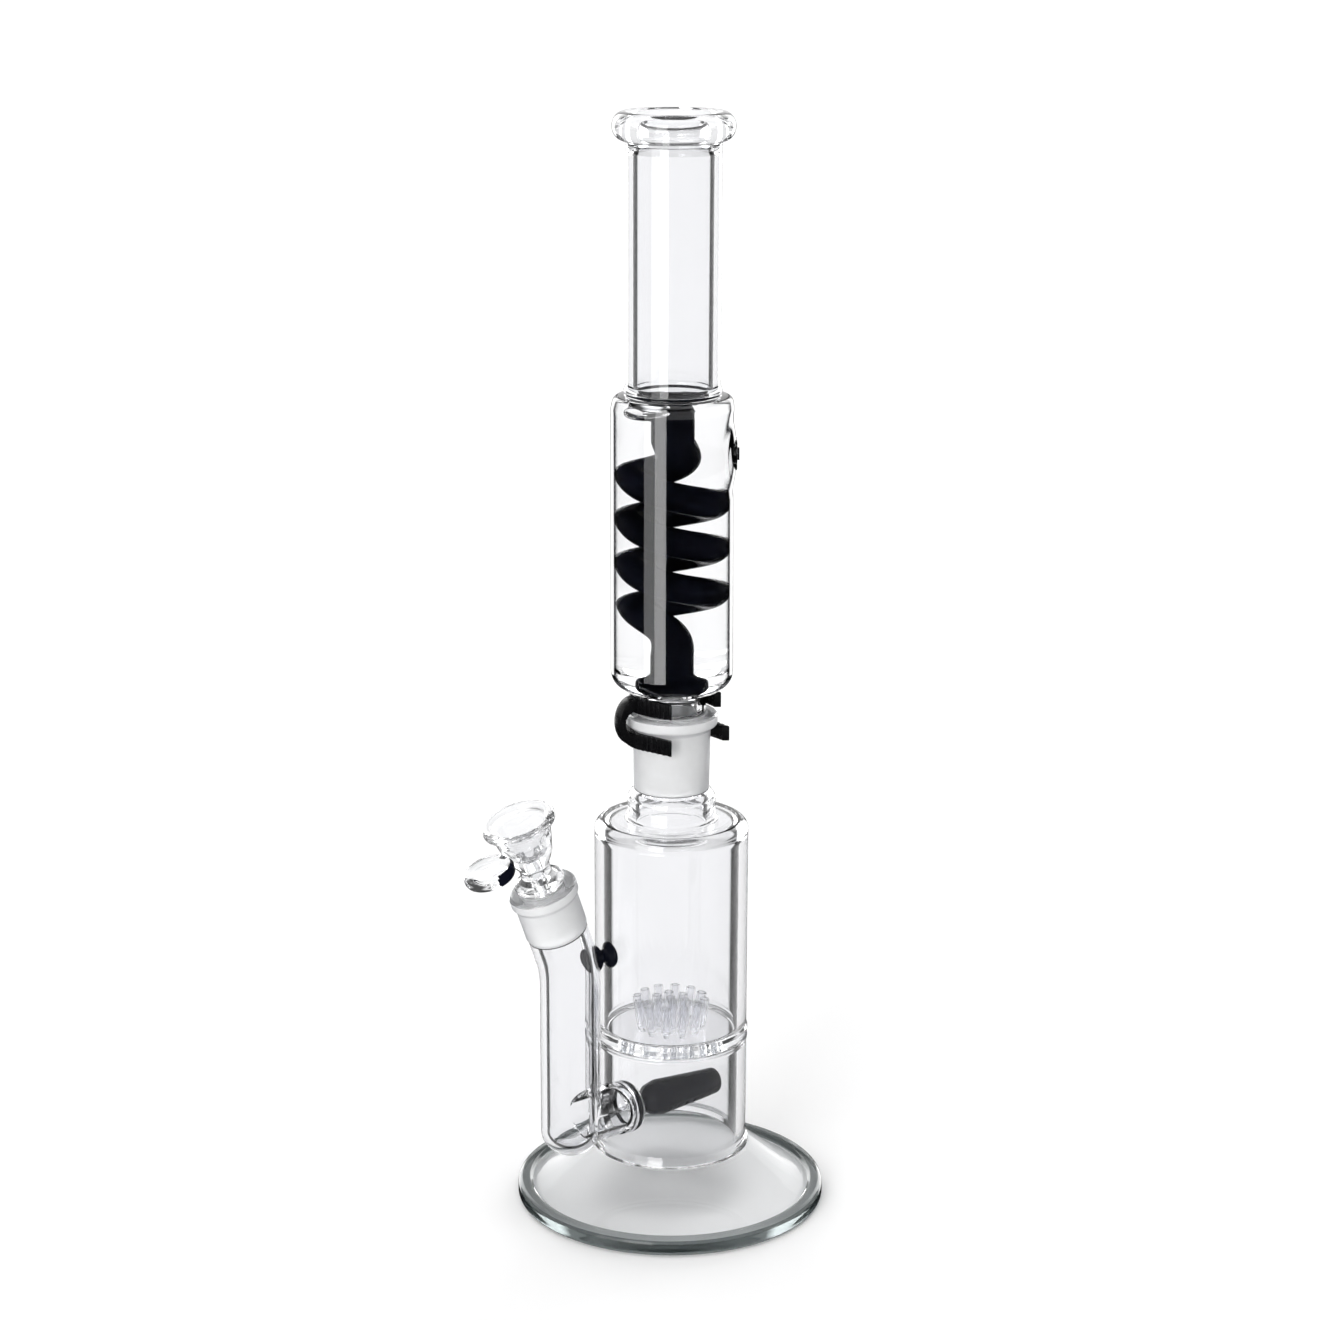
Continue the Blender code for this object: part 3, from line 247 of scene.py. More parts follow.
# Black glass of the coil; the same material is put on the cross tube's dome and on one side of the bowl's
# handle as painted shade.
COIL_AND_PAINTED_SHADE_GLASS = black_glass("coil_glass", ior=1.05)
STRUT_GLASS = black_glass("strut_glass", ior=1.15)
DIFFUSER_GLASS = black_glass("diffuser_glass", 0.22, 1.15)
PLASTIC = moulded("clip_plastic", 0.20, 700.0, 0.06, 1.35)
RUBBER = moulded("plug_rubber", 0.50, 900.0, 0.20, 1.25)


# ---------------------------------------------------------------- profiles and meshes


def rounded(points, close=False):
    """A polyline through (r, z) or (r, z, fillet) corners, with round corners and supported straight runs."""
    corners = [(Vector((p[0], p[1])), p[2] if len(p) > 2 else 0.0) for p in points]
    count = len(corners)
    line = []
    for index, (here, fillet) in enumerate(corners):
        at_end = not close and index in (0, count - 1)
        if fillet <= 0 or at_end:
            line.append(here)
            continue
        before, after = corners[index - 1][0], corners[(index + 1) % count][0]
        to_before, to_after = (before - here).normalized(), (after - here).normalized()
        half = to_before.angle(to_after) / 2
        reach = min(fillet / math.tan(half), 0.49 * (before - here).length, 0.49 * (after - here).length)
        radius = reach * math.tan(half)
        center = here + (to_before + to_after).normalized() * (radius / math.sin(half))
        start, end = here + to_before * reach - center, here + to_after * reach - center
        turn = start.angle_signed(end)
        steps = max(3, round(abs(math.degrees(turn)) / 9))
        for step in range(steps + 1):
            spin = Matrix.Rotation(-turn * step / steps, 2)
            line.append(center + spin @ start)
    supported = []
    ends = line + [line[0]] if close else line
    for first, second in zip(ends, ends[1:]):
        supported.append(first)
        length = (second - first).length
        if length > 2.4:
            supported += [first.lerp(second, 0.4 / length), second.lerp(first, 0.4 / length)]
    if not close:
        supported.append(line[-1])
    return supported


def to_object(name, form, materials, smooth_angle=32.0):
    bmesh.ops.remove_doubles(form, verts=form.verts, dist=1e-7)
    bmesh.ops.recalc_face_normals(form, faces=form.faces)
    mesh = bpy.data.meshes.new(name)
    form.to_mesh(mesh)
    if form.calc_volume(signed=True) < 0:
        mesh.flip_normals()
    form.free()
    for material in materials:
        mesh.materials.append(material)
    mesh.shade_smooth()
    mesh.set_sharp_from_angle(angle=math.radians(smooth_angle))
    obj = bpy.data.objects.new(name, mesh)
    bpy.context.scene.collection.objects.link(obj)
    return obj


def ring_corners(first, second, step, nxt):
    """A face's corners between two rings. A ring of one point makes triangles."""
    corners = [first[step % len(first)], first[nxt % len(first)]]
    corners += [second[nxt % len(second)], second[step % len(second)]]
    return list(dict.fromkeys(corners))


def lathe(name, profile, materials, segments=128, closed=False, paint=None):
    """Turns (r, z) points in millimetres about Z. paint gives a face's material index from its middle."""
    form = bmesh.new()
    rings = []
    for point in profile:
        if point[0] < 1e-6:
            rings.append([form.verts.new((0.0, 0.0, point[1] * MM))])
        else:
            ring = []
            for step in range(segments):
                angle = 2 * math.pi * step / segments
                x, y = point[0] * math.cos(angle) * MM, point[0] * math.sin(angle) * MM
                ring.append(form.verts.new((x, y, point[1] * MM)))
            rings.append(ring)
    pairs = list(zip(range(len(rings) - 1), range(1, len(rings))))
    if closed:
        pairs.append((len(rings) - 1, 0))
    for low, high in pairs:
        first, second = rings[low], rings[high]
        index = 0
        if paint:
            middle = (Vector(profile[low][:2]) + Vector(profile[high][:2])) / 2
            index = paint(middle[0], middle[1])
        for step in range(segments):
            corners = ring_corners(first, second, step, (step + 1) % segments)
            if len(corners) >= 3:
                form.faces.new(corners).material_index = index
    return to_object(name, form, materials)


def tube_along(name, stations, materials, segments=48, inner=None, index=0):
    """A round bar through (point, radius) stations in millimetres, or with inner stations a tube."""
    form = bmesh.new()

    def skin(rows):
        points = [Vector(point) for point, _ in rows]
        side = None
        rings = []
        for at, (_, radius) in enumerate(rows):
            ahead = points[min(at + 1, len(points) - 1)] - points[max(at - 1, 0)]
            along = ahead.normalized()
            if side is None:
                side = along.orthogonal().normalized()
            side = (side - along * side.dot(along)).normalized()
            other = along.cross(side)
            if radius < 1e-6:
                rings.append([form.verts.new(points[at] * MM)])
                continue
            ring = []
            for step in range(segments):
                angle = 2 * math.pi * step / segments
                offset = (side * math.cos(angle) + other * math.sin(angle)) * radius
                ring.append(form.verts.new((points[at] + offset) * MM))
            rings.append(ring)
        join(rings)
        return rings

    def join(rings):
        for first, second in zip(rings, rings[1:]):
            for step in range(segments):
                corners = ring_corners(first, second, step, (step + 1) % segments)
                form.faces.new(corners).material_index = index

    outer_rings = skin(stations)
    if inner:
        inner_rings = skin(inner)
        join([outer_rings[0], inner_rings[0]])
        join([outer_rings[-1], inner_rings[-1]])
    else:
        for ring in (outer_rings[0], outer_rings[-1]):
            if len(ring) > 1:
                form.faces.new(ring).material_index = index
    return to_object(name, form, materials)


def extruded(name, outline, low, high, materials, bevel=0.0):
    """A flat outline in millimetres between two heights, its long edges softened."""
    form = bmesh.new()
    bottom = [form.verts.new((x * MM, y * MM, low * MM)) for x, y in outline]
    top = [form.verts.new((x * MM, y * MM, high * MM)) for x, y in outline]
    form.faces.new(bottom)
    form.faces.new(top)
    for index in range(len(outline)):
        nxt = (index + 1) % len(outline)
        form.faces.new((bottom[index], bottom[nxt], top[nxt], top[index]))
    bmesh.ops.recalc_face_normals(form, faces=form.faces)
    if bevel:
        rims = [edge for edge in form.edges if abs(edge.verts[0].co.z - edge.verts[1].co.z) < 1e-9]
        bmesh.ops.bevel(form, geom=rims, offset=bevel * MM, segments=2, profile=0.6, affect="EDGES")
    return to_object(name, form, materials, 40.0)


def combine(target, other, operation):
    """Applies a boolean at once and removes the other piece."""
    modifier = target.modifiers.new("cut", "BOOLEAN")
    modifier.operation = operation
    modifier.solver = "EXACT"
    modifier.object = other
    graph = bpy.context.evaluated_depsgraph_get()
    graph.update()
    mesh = bpy.data.meshes.new_from_object(target.evaluated_get(graph))
    mesh.validate()
    target.modifiers.clear()
    old = target.data
    target.data = mesh
    bpy.data.meshes.remove(old)
    bpy.data.objects.remove(other)
    return target


def baked(obj, matrix):
    """Moves a mesh by a matrix, in its own vertices."""
    obj.data.transform(matrix)
    return obj


def resharpen(obj, angle=32.0):
    obj.data.shade_smooth()
    obj.data.set_sharp_from_angle(angle=math.radians(angle))
    return obj


def along_x(start=0.0, height=0.0):
    """Stands a turned piece's axis along +X, from x = start in millimetres."""
    return Matrix.Translation((start * MM, 0.0, height * MM)) @ Matrix.Rotation(math.pi / 2, 4, "Y")


PORT_SPOT = Matrix.Translation((0.0, 0.0, PORT_Z * MM)) @ Matrix.Rotation(PORT_BEARING, 4, "Z")
PORT_MATRIX = PORT_SPOT @ Matrix.Rotation(math.pi / 2, 4, "Y")  # the port's axis, outward along +Z
LEAN = Matrix.Translation((ARM_X * MM, 0.0, ARM_BEND_Z * MM)) @ Matrix.Rotation(-ARM_LEAN, 4, "Y")
SOCKET_TOP = LEAN @ Matrix.Translation((0.0, 0.0, (SOCKET_START + SOCKET_LENGTH) * MM))


def finished(obj, body, slot, *nodes):
    """Tells the frame what a piece moves with and hides the CAD nodes it stands for. The slot argument is not
    used.
    """
    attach(obj, body)
    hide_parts(*nodes)
    return obj


# ---------------------------------------------------------------- base


def pillar_places():
    """The bearing and radius of each pillar. The outer ring is turned by half its pitch."""
    places = []
    for radius, count in PILLAR_RINGS:
        for index in range(count):
            places.append((2 * math.pi * (index + 0.5 * (count > 6)) / count, radius))
    return places


def pillar_matrix(bearing, radius, lift):
    tilt = PILLAR_FLARE if radius > 10 else 0.0
    height = DISC_TOP + lift + PILLAR_R * math.sin(tilt)
    spot = Vector((radius * math.cos(bearing), radius * math.sin(bearing), height)) * MM
    return Matrix.Translation(spot) @ Matrix.Rotation(bearing, 4, "Z") @ Matrix.Rotation(tilt, 4, "Y")


def arm_path(inset, past_end=0.0):
    """(point, radius) stations up the side arm: its domed bottom, the upright run, the bend and the lean."""
    radius = ARM_R - inset
    dome_top = ARM_BOTTOM + ARM_DOME
    stations = []
    for step in range(13):
        turn = math.radians(90 - 90 * step / 12)
        height = dome_top - (ARM_DOME - inset) * math.sin(turn)
        stations.append((Vector((ARM_X, 0.0, height)), radius * math.cos(turn) if step else 0.0))
    tangent = ARM_BEND_R * math.tan(ARM_LEAN / 2)
    bend_start = ARM_BEND_Z - tangent
    stations.append((Vector((ARM_X, 0.0, dome_top + 0.4)), radius))
    stations.append((Vector((ARM_X, 0.0, bend_start - 0.4)), radius))
    center = Vector((ARM_X - ARM_BEND_R, 0.0, bend_start))
    for step in range(9):
        angle = ARM_LEAN * step / 8
        stations.append((center + Vector((math.cos(angle), 0.0, math.sin(angle))) * ARM_BEND_R, radius))
    length = ARM_END + past_end
    end = Vector((ARM_X - math.sin(ARM_LEAN) * length, 0.0, ARM_BEND_Z + math.cos(ARM_LEAN) * length))
    near = end - Vector((-math.sin(ARM_LEAN), 0.0, math.cos(ARM_LEAN))) * 0.4
    return stations + [(near, radius), (end, radius)]


def make_base_glass():
    """Chamber, disc, shoulder, neck, side arm and cross tube, fused into one glass body."""
    bore = CHAMBER_R - CHAMBER_WALL
    neck_bore = NECK_R - NECK_WALL
    foot_join = FOOT_TOP + 0.05
    profile = [
        (0.0, DISC_BOTTOM),
        (9.6, DISC_BOTTOM),
        (20.0, DISC_BOTTOM),
        (bore, DISC_BOTTOM, 1.6),
        (bore, foot_join + 3.6, 2.0),
        (bore + 0.9, foot_join, 0.8),
        (CHAMBER_R + 1.4, foot_join, 0.9),
        (CHAMBER_R + 1.1, foot_join + 2.6, 1.6),
        (CHAMBER_R, foot_join + 4.6, 2.4),
        (CHAMBER_R, DISC_BOTTOM - 1.2, 1.0),
        (CHAMBER_R + 0.45, DISC_BOTTOM + 0.6, 0.8),
        (CHAMBER_R + 0.15, (DISC_BOTTOM + DISC_TOP) / 2, 1.5),
        (CHAMBER_R + 0.45, DISC_TOP - 0.6, 0.8),
        (CHAMBER_R, DISC_TOP + 1.2, 1.0),
        (CHAMBER_R, SHOULDER_TOP - 0.8, 6.5),
        (CHAMBER_R - 8.0, SHOULDER_TOP, 5.0),
        (NECK_R + 0.2, SHOULDER_TOP + 0.2, 1.6),
        (NECK_R, SHOULDER_TOP + 6.0, 3.0),
        (NECK_R, JOINT_BOTTOM - 3.8, 2.2),
        (16.9, JOINT_BOTTOM - 0.9, 1.2),
        (15.9, JOINT_BOTTOM - 0.15, 0.3),
        (13.3, JOINT_BOTTOM - 0.15, 0.3),
        (13.3, JOINT_BOTTOM - 1.6, 0.8),
        (neck_bore, JOINT_BOTTOM - 4.8, 2.0),
        (neck_bore, SHOULDER_TOP - CHAMBER_WALL, 2.0),
        (bore, SHOULDER_TOP - CHAMBER_WALL - 0.4, 4.0),
        (bore, DISC_TOP, 2.0),
        (20.0, DISC_TOP),
        (9.6, DISC_TOP),
        (0.0, DISC_TOP),
    ]

    def outside(r, z):
        if DISC_BOTTOM - 0.1 < z < DISC_TOP + 0.1 and r > bore + 1.0:
            return 2
        if z > SHOULDER_TOP + 0.5:
            return int(r < neck_bore + 0.5)
        return int(abs(r - bore) < 1.0)

    slots = [OUTER_GLASS, BORE_GLASS, DISC_GLASS, DRILLED_GLASS, COIL_AND_PAINTED_SHADE_GLASS]
    base = lathe("base_glass", rounded(profile), slots, 160, paint=outside)
    drills = bmesh.new()
    drill_r, drill_depth = PILLAR_BORE_R * MM, 24 * MM
    drill = {"cap_ends": True, "segments": 20, "radius1": drill_r, "radius2": drill_r, "depth": drill_depth}
    for bearing, radius in pillar_places():
        place = pillar_matrix(bearing, radius, -DISC_TOP + DISC_BOTTOM)
        bmesh.ops.create_cone(drills, matrix=place, **drill)
    for face in drills.faces:
        face.material_index = 3
    combine(base, to_object("drills", drills, slots), "DIFFERENCE")

    arm = tube_along("arm", arm_path(0.0), slots, 96)
    tip, hole, start = CROSS_END, 2.3, ARM_X + 2.0
    dome = [(0.0, tip), (hole + 1.8, tip, 1.4), (CROSS_R, tip - 1.6, 5.4)]
    cross_out = dome + [(CROSS_R, start), (0.0, start)]

    def cross_painted_shade(r, z):
        """Painted shade: a ring of black glass round the dome's shoulder, for the dark crescent refraction
        gives there.
        """
        return 4 if tip - 6.2 < z < tip - 3.4 and r > 5.0 else 0

    on_cross_axis = along_x(0.0, CROSS_Z)
    cross = baked(lathe("cross", rounded(cross_out), slots, 96, paint=cross_painted_shade), on_cross_axis)
    combine(arm, cross, "UNION")
    combine(base, arm, "UNION")
    inner_r = CROSS_R - CROSS_WALL
    cross_in = [
        (0.0, tip + 1.0),
        (hole, tip + 1.0),
        (hole, tip - CROSS_WALL, 0.6),
        (inner_r, tip - CROSS_WALL - 1.4, 4.2),
        (inner_r, ARM_X),
        (0.0, ARM_X),
    ]
    arm_bore = tube_along("arm_bore", arm_path(ARM_WALL, 4.0), slots, 96, index=1)
    cross_bore = baked(lathe("cross_bore", rounded(cross_in), slots, 96, paint=lambda r, z: 1), on_cross_axis)
    combine(arm_bore, cross_bore, "UNION")
    combine(base, arm_bore, "DIFFERENCE")
    resharpen(base, 38.0)
    nodes = ["lower_chamber", "perc_disc", "upper_chamber", "chamber_neck", "side_arm", "cross_tube"]
    return finished(base, "base", "clear_glass", *nodes)


def make_foot():
    profile = [
        (0.0, FOOT_TOP - 0.6),
        (24.0, FOOT_TOP - 0.6, 4.0),
        (CHAMBER_R + 1.4, FOOT_TOP, 3.0),
        (CHAMBER_R + 7.0, FOOT_TOP - 4.6, 8.0),
        (FOOT_R - 16.0, 11.2, 30.0),
        (FOOT_R - 7.4, 5.4, 2.6),
        (FOOT_R - 5.0, 7.5, 2.0),
        (FOOT_R, 7.5, 3.2),
        (FOOT_R, 0.0, 2.2),
        (0.0, 0.0),
    ]

    def paint(r, z):
        # Painted shade: the rim's outer side takes slot 2 and its top slot 1, both dark-tinted glass.
        if z > 0.1 and r > FOOT_R - 0.8:
            return 2
        return int(z > 0.1 and r > FOOT_R - 6.6)

    slots = [FOOT_GLASS, RIM_TOP_SHADED_GLASS, RIM_SIDE_SHADED_GLASS]
    foot = lathe("foot_disc", rounded(profile), slots, 192, paint=paint)
    return finished(foot, "base", "clear_glass", "foot")


def make_pillars():
    rim = 0.28
    profile = [
        (PILLAR_R - 0.3, 0.05, rim),
        (PILLAR_R, 0.5, rim),
        (PILLAR_R, PILLAR_HEIGHT, rim),
        (PILLAR_BORE_R, PILLAR_HEIGHT, rim),
        (PILLAR_BORE_R, 0.05, rim),
    ]
    first = lathe("perc_tube_01", rounded(profile, True), [SMALL_GLASS], 32, closed=True)
    for index, (bearing, radius) in enumerate(pillar_places(), 1):
        tube = first if index == 1 else first.copy()
        tube.name = f"perc_tube_{index:02d}"
        if index > 1:
            bpy.context.scene.collection.objects.link(tube)
        tube.matrix_world = pillar_matrix(bearing, radius, 0.05)
        finished(tube, "base", "clear_glass", f"perc_pillar_{index:02d}")


def cone_radius(z):
    """The ground cone's radius at a height, both in millimetres."""
    return CONE_BOTTOM_R + (CONE_TOP_R - CONE_BOTTOM_R) * (z - CONE_BOTTOM) / (JOINT_TOP - CONE_BOTTOM)


def make_joint_socket():
    profile = [
        (cone_radius(JOINT_TOP) + GAP, JOINT_TOP, 0.5),
        (FLANGE_R, JOINT_TOP, 1.6),
        (FLANGE_R, FLANGE_BOTTOM + 1.2, 1.4),
        (17.4, FLANGE_BOTTOM - 0.2, 1.2),
        (16.4, FLANGE_BOTTOM - 1.2, 1.0),
        (15.9, JOINT_BOTTOM + 1.0, 0.6),
        (15.7, JOINT_BOTTOM, 0.3),
        (cone_radius(JOINT_BOTTOM) + GAP, JOINT_BOTTOM, 0.3),
    ]

    def paint(r, z):
        return int(z > JOINT_TOP - 1.0)

    slots = [JOINT_GLASS, OUTER_GLASS]
    socket = lathe("joint_socket", rounded(profile, True), slots, 128, closed=True, paint=paint)
    return finished(socket, "base", "ground_glass", "base_joint_socket")


def make_arm_socket():
    low, flange = -SOCKET_LENGTH, -5.5
    profile = [
        (9.7, 0.0, 0.5),
        (14.5, 0.0, 1.7),
        (14.5, flange + 0.8, 1.0),
        (13.25, flange - 1.0, 1.2),
        (13.25, low + 1.8, 1.0),
        (12.75, low, 0.4),
        (9.7 + 0.05 * low, low, 0.4),
    ]

    def paint(r, z):
        return int(z > -1.2)

    slots = [JOINT_GLASS, OUTER_GLASS]
    socket = lathe("arm_joint_socket", rounded(profile, True), slots, 96, closed=True, paint=paint)
    baked(socket, SOCKET_TOP)
    return finished(socket, "base", "ground_glass", "arm_socket")


def make_diffuser():
    length = DIFFUSER_END - DIFFUSER_START
    profile = [
        (0.0, length),
        (5.5, length, 2.2),
        (7.75, 11.5, 4.0),
        (6.6, 6.4, 3.0),
        (3.9, 3.2, 2.0),
        (3.7, 0.0, 0.3),
        (1.6, 0.0, 0.3),
        (1.6, 3.4, 1.0),
        (6.2, 10.5, 2.0),
        (4.0, length - 1.5, 1.6),
        (0.0, length - 1.5),
    ]
    turned = lathe("diffuser_tube", rounded(profile), [DIFFUSER_GLASS], 72)
    diffuser = baked(turned, along_x(DIFFUSER_START, CROSS_Z))
    slits = bmesh.new()
    for index in range(6):
        spot = Vector((DIFFUSER_START + 12.6 + 4.6 * index, 0.0, CROSS_Z - 8.2)) * MM
        turn = Matrix.Rotation(math.radians(12), 4, "Y") @ Matrix.Diagonal((1.3 * MM, 20 * MM, 11 * MM, 1.0))
        bmesh.ops.create_cube(slits, matrix=Matrix.Translation(spot) @ turn)
    combine(diffuser, to_object("slits", slits, [DIFFUSER_GLASS]), "DIFFERENCE")
    resharpen(diffuser, 35.0)
    return finished(diffuser, "base", "black_glass", "inline_diffuser")


def make_strut():
    arm_face, chamber_face = ARM_X + ARM_R, -CHAMBER_R
    middle = (arm_face + chamber_face) / 2
    pad_r, rod_r, waist_r = 5.6, 3.2, 2.8
    profile = [
        (0.0, chamber_face + 3.0),
        (pad_r, chamber_face + 3.0),
        (pad_r, chamber_face - 0.5, 0.8),
        (rod_r, middle + 1.4, 1.2),
        (waist_r, middle, 2.0),
        (rod_r, middle - 1.4, 1.2),
        (pad_r, arm_face + 0.5, 0.8),
        (pad_r, arm_face - 3.0),
        (0.0, arm_face - 3.0),
    ]
    strut = baked(lathe("bridge_strut_rod", rounded(profile), [STRUT_GLASS], 64), along_x(0.0, STRUT_Z))
    chamber, low, high, sunk = CHAMBER_R + 0.02, STRUT_Z - 17.0, STRUT_Z + 17.0, 0.8
    wall = lathe("wall", [(0.0, high), (chamber, high), (chamber, low), (0.0, low)], [COIL_AND_PAINTED_SHADE_GLASS], 160)
    combine(strut, wall, "DIFFERENCE")
    arm_room = tube_along("arm_room", [(p, r - sunk) for p, r in arm_path(0.0)], [COIL_AND_PAINTED_SHADE_GLASS], 96)
    combine(strut, arm_room, "DIFFERENCE")
    resharpen(strut, 35.0)
    return finished(strut, "base", "black_glass", "bridge_strut")


# ---------------------------------------------------------------- condenser


def make_condenser_cone():
    profile = [
        (CONE_TOP_R, JOINT_TOP + GAP, 0.2),
        (cone_radius(JOINT_TOP) - 0.05, JOINT_TOP, 0.2),
        (CONE_BOTTOM_R, CONE_BOTTOM, 0.8),
        (CONE_BORE_R, CONE_BOTTOM, 0.8),
        (CONE_BORE_R, JOINT_TOP + GAP, 0.2),
    ]
    cone = lathe("condenser_cone", rounded(profile, True), [JOINT_GLASS], 128, closed=True)
    return finished(cone, "condenser", "ground_glass", "condenser_joint_cone")


def make_condenser_glass():
    """Lip, mouthpiece tube, jacket, fill port and lower neck, fused into one glass body."""
    wall = JACKET_R - JACKET_WALL
    bore = MOUTH_R - MOUTH_WALL
    lip_mid = (MOUTH_TOP + LIP_TOP) / 2
    lip_half, lip_center = LIP_TOP - lip_mid, (LIP_R + LIP_BORE_R) / 2
    lip = []
    mound_rows = [(JACKET_R, z) for z in range(346, 311, -1)]
    for turn in range(72, -73, -8):
        angle = math.radians(turn)
        reach = lip_center + (LIP_R - lip_center) * math.cos(angle)
        lip.append((reach, lip_mid + lip_half * math.sin(angle)))
    profile = lip + [
        (MOUTH_R + 0.3, MOUTH_TOP - 0.2, 0.8),
        (MOUTH_R, MOUTH_TOP - 1.6, 1.0),
        (MOUTH_R, JACKET_TOP + 4.6, 1.6),
        (MOUTH_R + 0.8, JACKET_TOP + 2.4, 1.0),
        (MOUTH_R + 0.3, JACKET_TOP + 0.6, 0.6),
        (JACKET_R - 1.2, JACKET_TOP, 3.0),
        (JACKET_R, JACKET_TOP - 5.0, 6.0),
        *mound_rows,
        (JACKET_R, JACKET_BOTTOM + 4.5, 10.0),
        (JACKET_R - 5.5, JACKET_BOTTOM, 7.0),
        (CONDENSER_NECK_R + 1.6, JACKET_BOTTOM - 0.6, 1.4),
        (CONDENSER_NECK_R, JACKET_BOTTOM - 3.4, 1.8),
        (CONDENSER_NECK_R, JOINT_TOP + 2 * GAP, 0.3),
        (CONE_BORE_R, JOINT_TOP + 2 * GAP, 0.3),
        (CONE_BORE_R, JACKET_BOTTOM + JACKET_WALL, 0.5),
        (wall - 5.4, JACKET_BOTTOM + JACKET_WALL, 6.0),
        (wall, JACKET_BOTTOM + JACKET_WALL + 5.4, 8.0),
        (wall, JACKET_TOP - JACKET_WALL - 4.0, 5.0),
        (wall - 4.0, JACKET_TOP - JACKET_WALL, 3.0),
        (12.4, JACKET_TOP - JACKET_WALL, 0.6),
        (10.8, JACKET_TOP + 0.1, 0.4),
        (COIL_BORE_R + 0.2, JACKET_TOP + 0.1, 0.2),
        (COIL_BORE_R + 0.2, JACKET_TOP + 1.4, 0.5),
        (bore - 2.0, JACKET_TOP + 1.6, 1.2),
        (bore, JACKET_TOP + 3.2, 1.4),
        (bore, MOUTH_TOP - 5.0, 3.0),
        (LIP_BORE_R, MOUTH_TOP + 1.0, 3.0),
        (LIP_BORE_R, LIP_TOP - 4.6, 3.4),
        (LIP_BORE_R + 3.2, LIP_TOP, 3.6),
    ]

    def paint(r, z):
        if JACKET_BOTTOM + 0.5 < z < JACKET_TOP + 0.2 and r < wall + 0.1:
            return 2
        if z > MOUTH_TOP - 0.5:
            return 3 if r > lip_center else 0
        if r < bore + 0.05 or (z < JACKET_BOTTOM and r < CONE_BORE_R + 0.1):
            return 5 if JACKET_TOP < z < JACKET_TOP + 3.9 else 1
        return 0 if z > JACKET_TOP + 1.0 else 4

    slots = [OUTER_GLASS, BORE_GLASS, WETTED_GLASS, LIP_GLASS, JACKET_GLASS, MOUTH_FLOOR_GLASS]
    shell = lathe("condenser_glass", rounded(profile, True), slots, 160, closed=True, paint=paint)
    toward = Vector((math.cos(PORT_BEARING), math.sin(PORT_BEARING), 0.0))
    spot = toward * JACKET_R * MM + Vector((0.0, 0.0, PORT_Z * MM))
    rise, rise_width, dip, dip_at, dip_width = 0.9, 8.5, 0.75, 15.0, 5.0  # the wall swells round the port
    for vertex in shell.data.vertices:
        reach = Vector((vertex.co.x, vertex.co.y, 0.0))
        if reach.length > (JACKET_R - 0.2) * MM:
            away = (vertex.co - spot).length / MM
            mound = rise * math.exp(-((away / rise_width) ** 2))
            mound -= dip * math.exp(-(((away - dip_at) / dip_width) ** 2))
            vertex.co += reach.normalized() * mound * MM
    port = [
        (0.0, JACKET_R - 1.5),
        (7.4, JACKET_R - 1.5),
        (7.0, JACKET_R + 0.3, 0.5),
        (6.6, 26.5, 0.4),
        (2.9, 26.5, 0.3),
        (2.9, JACKET_R - 1.0),
        (0.0, JACKET_R - 1.0),
    ]
    nub = baked(lathe("nub", rounded(port), slots, 48, paint=lambda r, z: 4), PORT_MATRIX)
    combine(shell, nub, "UNION")
    resharpen(shell, 38.0)
    nodes = ["condenser_jacket", "condenser_neck", "mouthpiece_tube", "mouth_lip", "fill_port"]
    return finished(shell, "condenser", "clear_glass", *nodes)


def coil_center(turn):
    opening_deg, opening_drop, opening_power, opening_drop_power = COIL_OPENING
    closing_deg, closing_drop, closing_power, closing_drop_power = COIL_CLOSING
    from_start = max(0.0, -turn / opening_deg)
    from_end = max(0.0, (turn - COIL_FULL_DEG) / closing_deg)
    radius = COIL_HELIX_R * (1.0 - from_start**opening_power - from_end**closing_power)
    height = COIL_FIRST_Z - COIL_PITCH * turn / 360.0
    height += opening_drop * from_start**opening_drop_power - closing_drop * from_end**closing_drop_power
    bearing = math.radians(COIL_FIRST_DEG + turn)
    return Vector((radius * math.cos(bearing), radius * math.sin(bearing), height))


def coil_stations(flare, straight):
    """The coil's centre line and radius from top to bottom, with a flare at each end."""
    flare_rows = [(0.0, 0.0), (0.4, 0.05), (0.9, 0.14), (1.5, 0.32), (2.1, 0.58)]
    flare_rows += [(2.7, 0.82), (3.4, 0.95), (4.2, 1.0), (4.8, 1.0)]

    def end_rows(near, far):
        rows = []
        for reach, share in flare_rows:
            radius = COIL_TUBE_R + (COIL_FLARE_R - COIL_TUBE_R) * share if flare else straight
            rows.append((Vector((0.0, 0.0, near + math.copysign(reach, far - near))), radius))
        return rows + [(Vector((0.0, 0.0, far)), rows[-1][1])]

    rows = end_rows(COIL_END_TOP, JACKET_TOP - GAP)[::-1]
    first, last = -COIL_OPENING[0], COIL_FULL_DEG + COIL_CLOSING[0]
    count = round((last - first) / 6)
    for index in range(count + 1):
        rows.append((coil_center(first + (last - first) * index / count), straight))
    return rows + end_rows(COIL_END_BOTTOM, JACKET_BOTTOM + GAP)


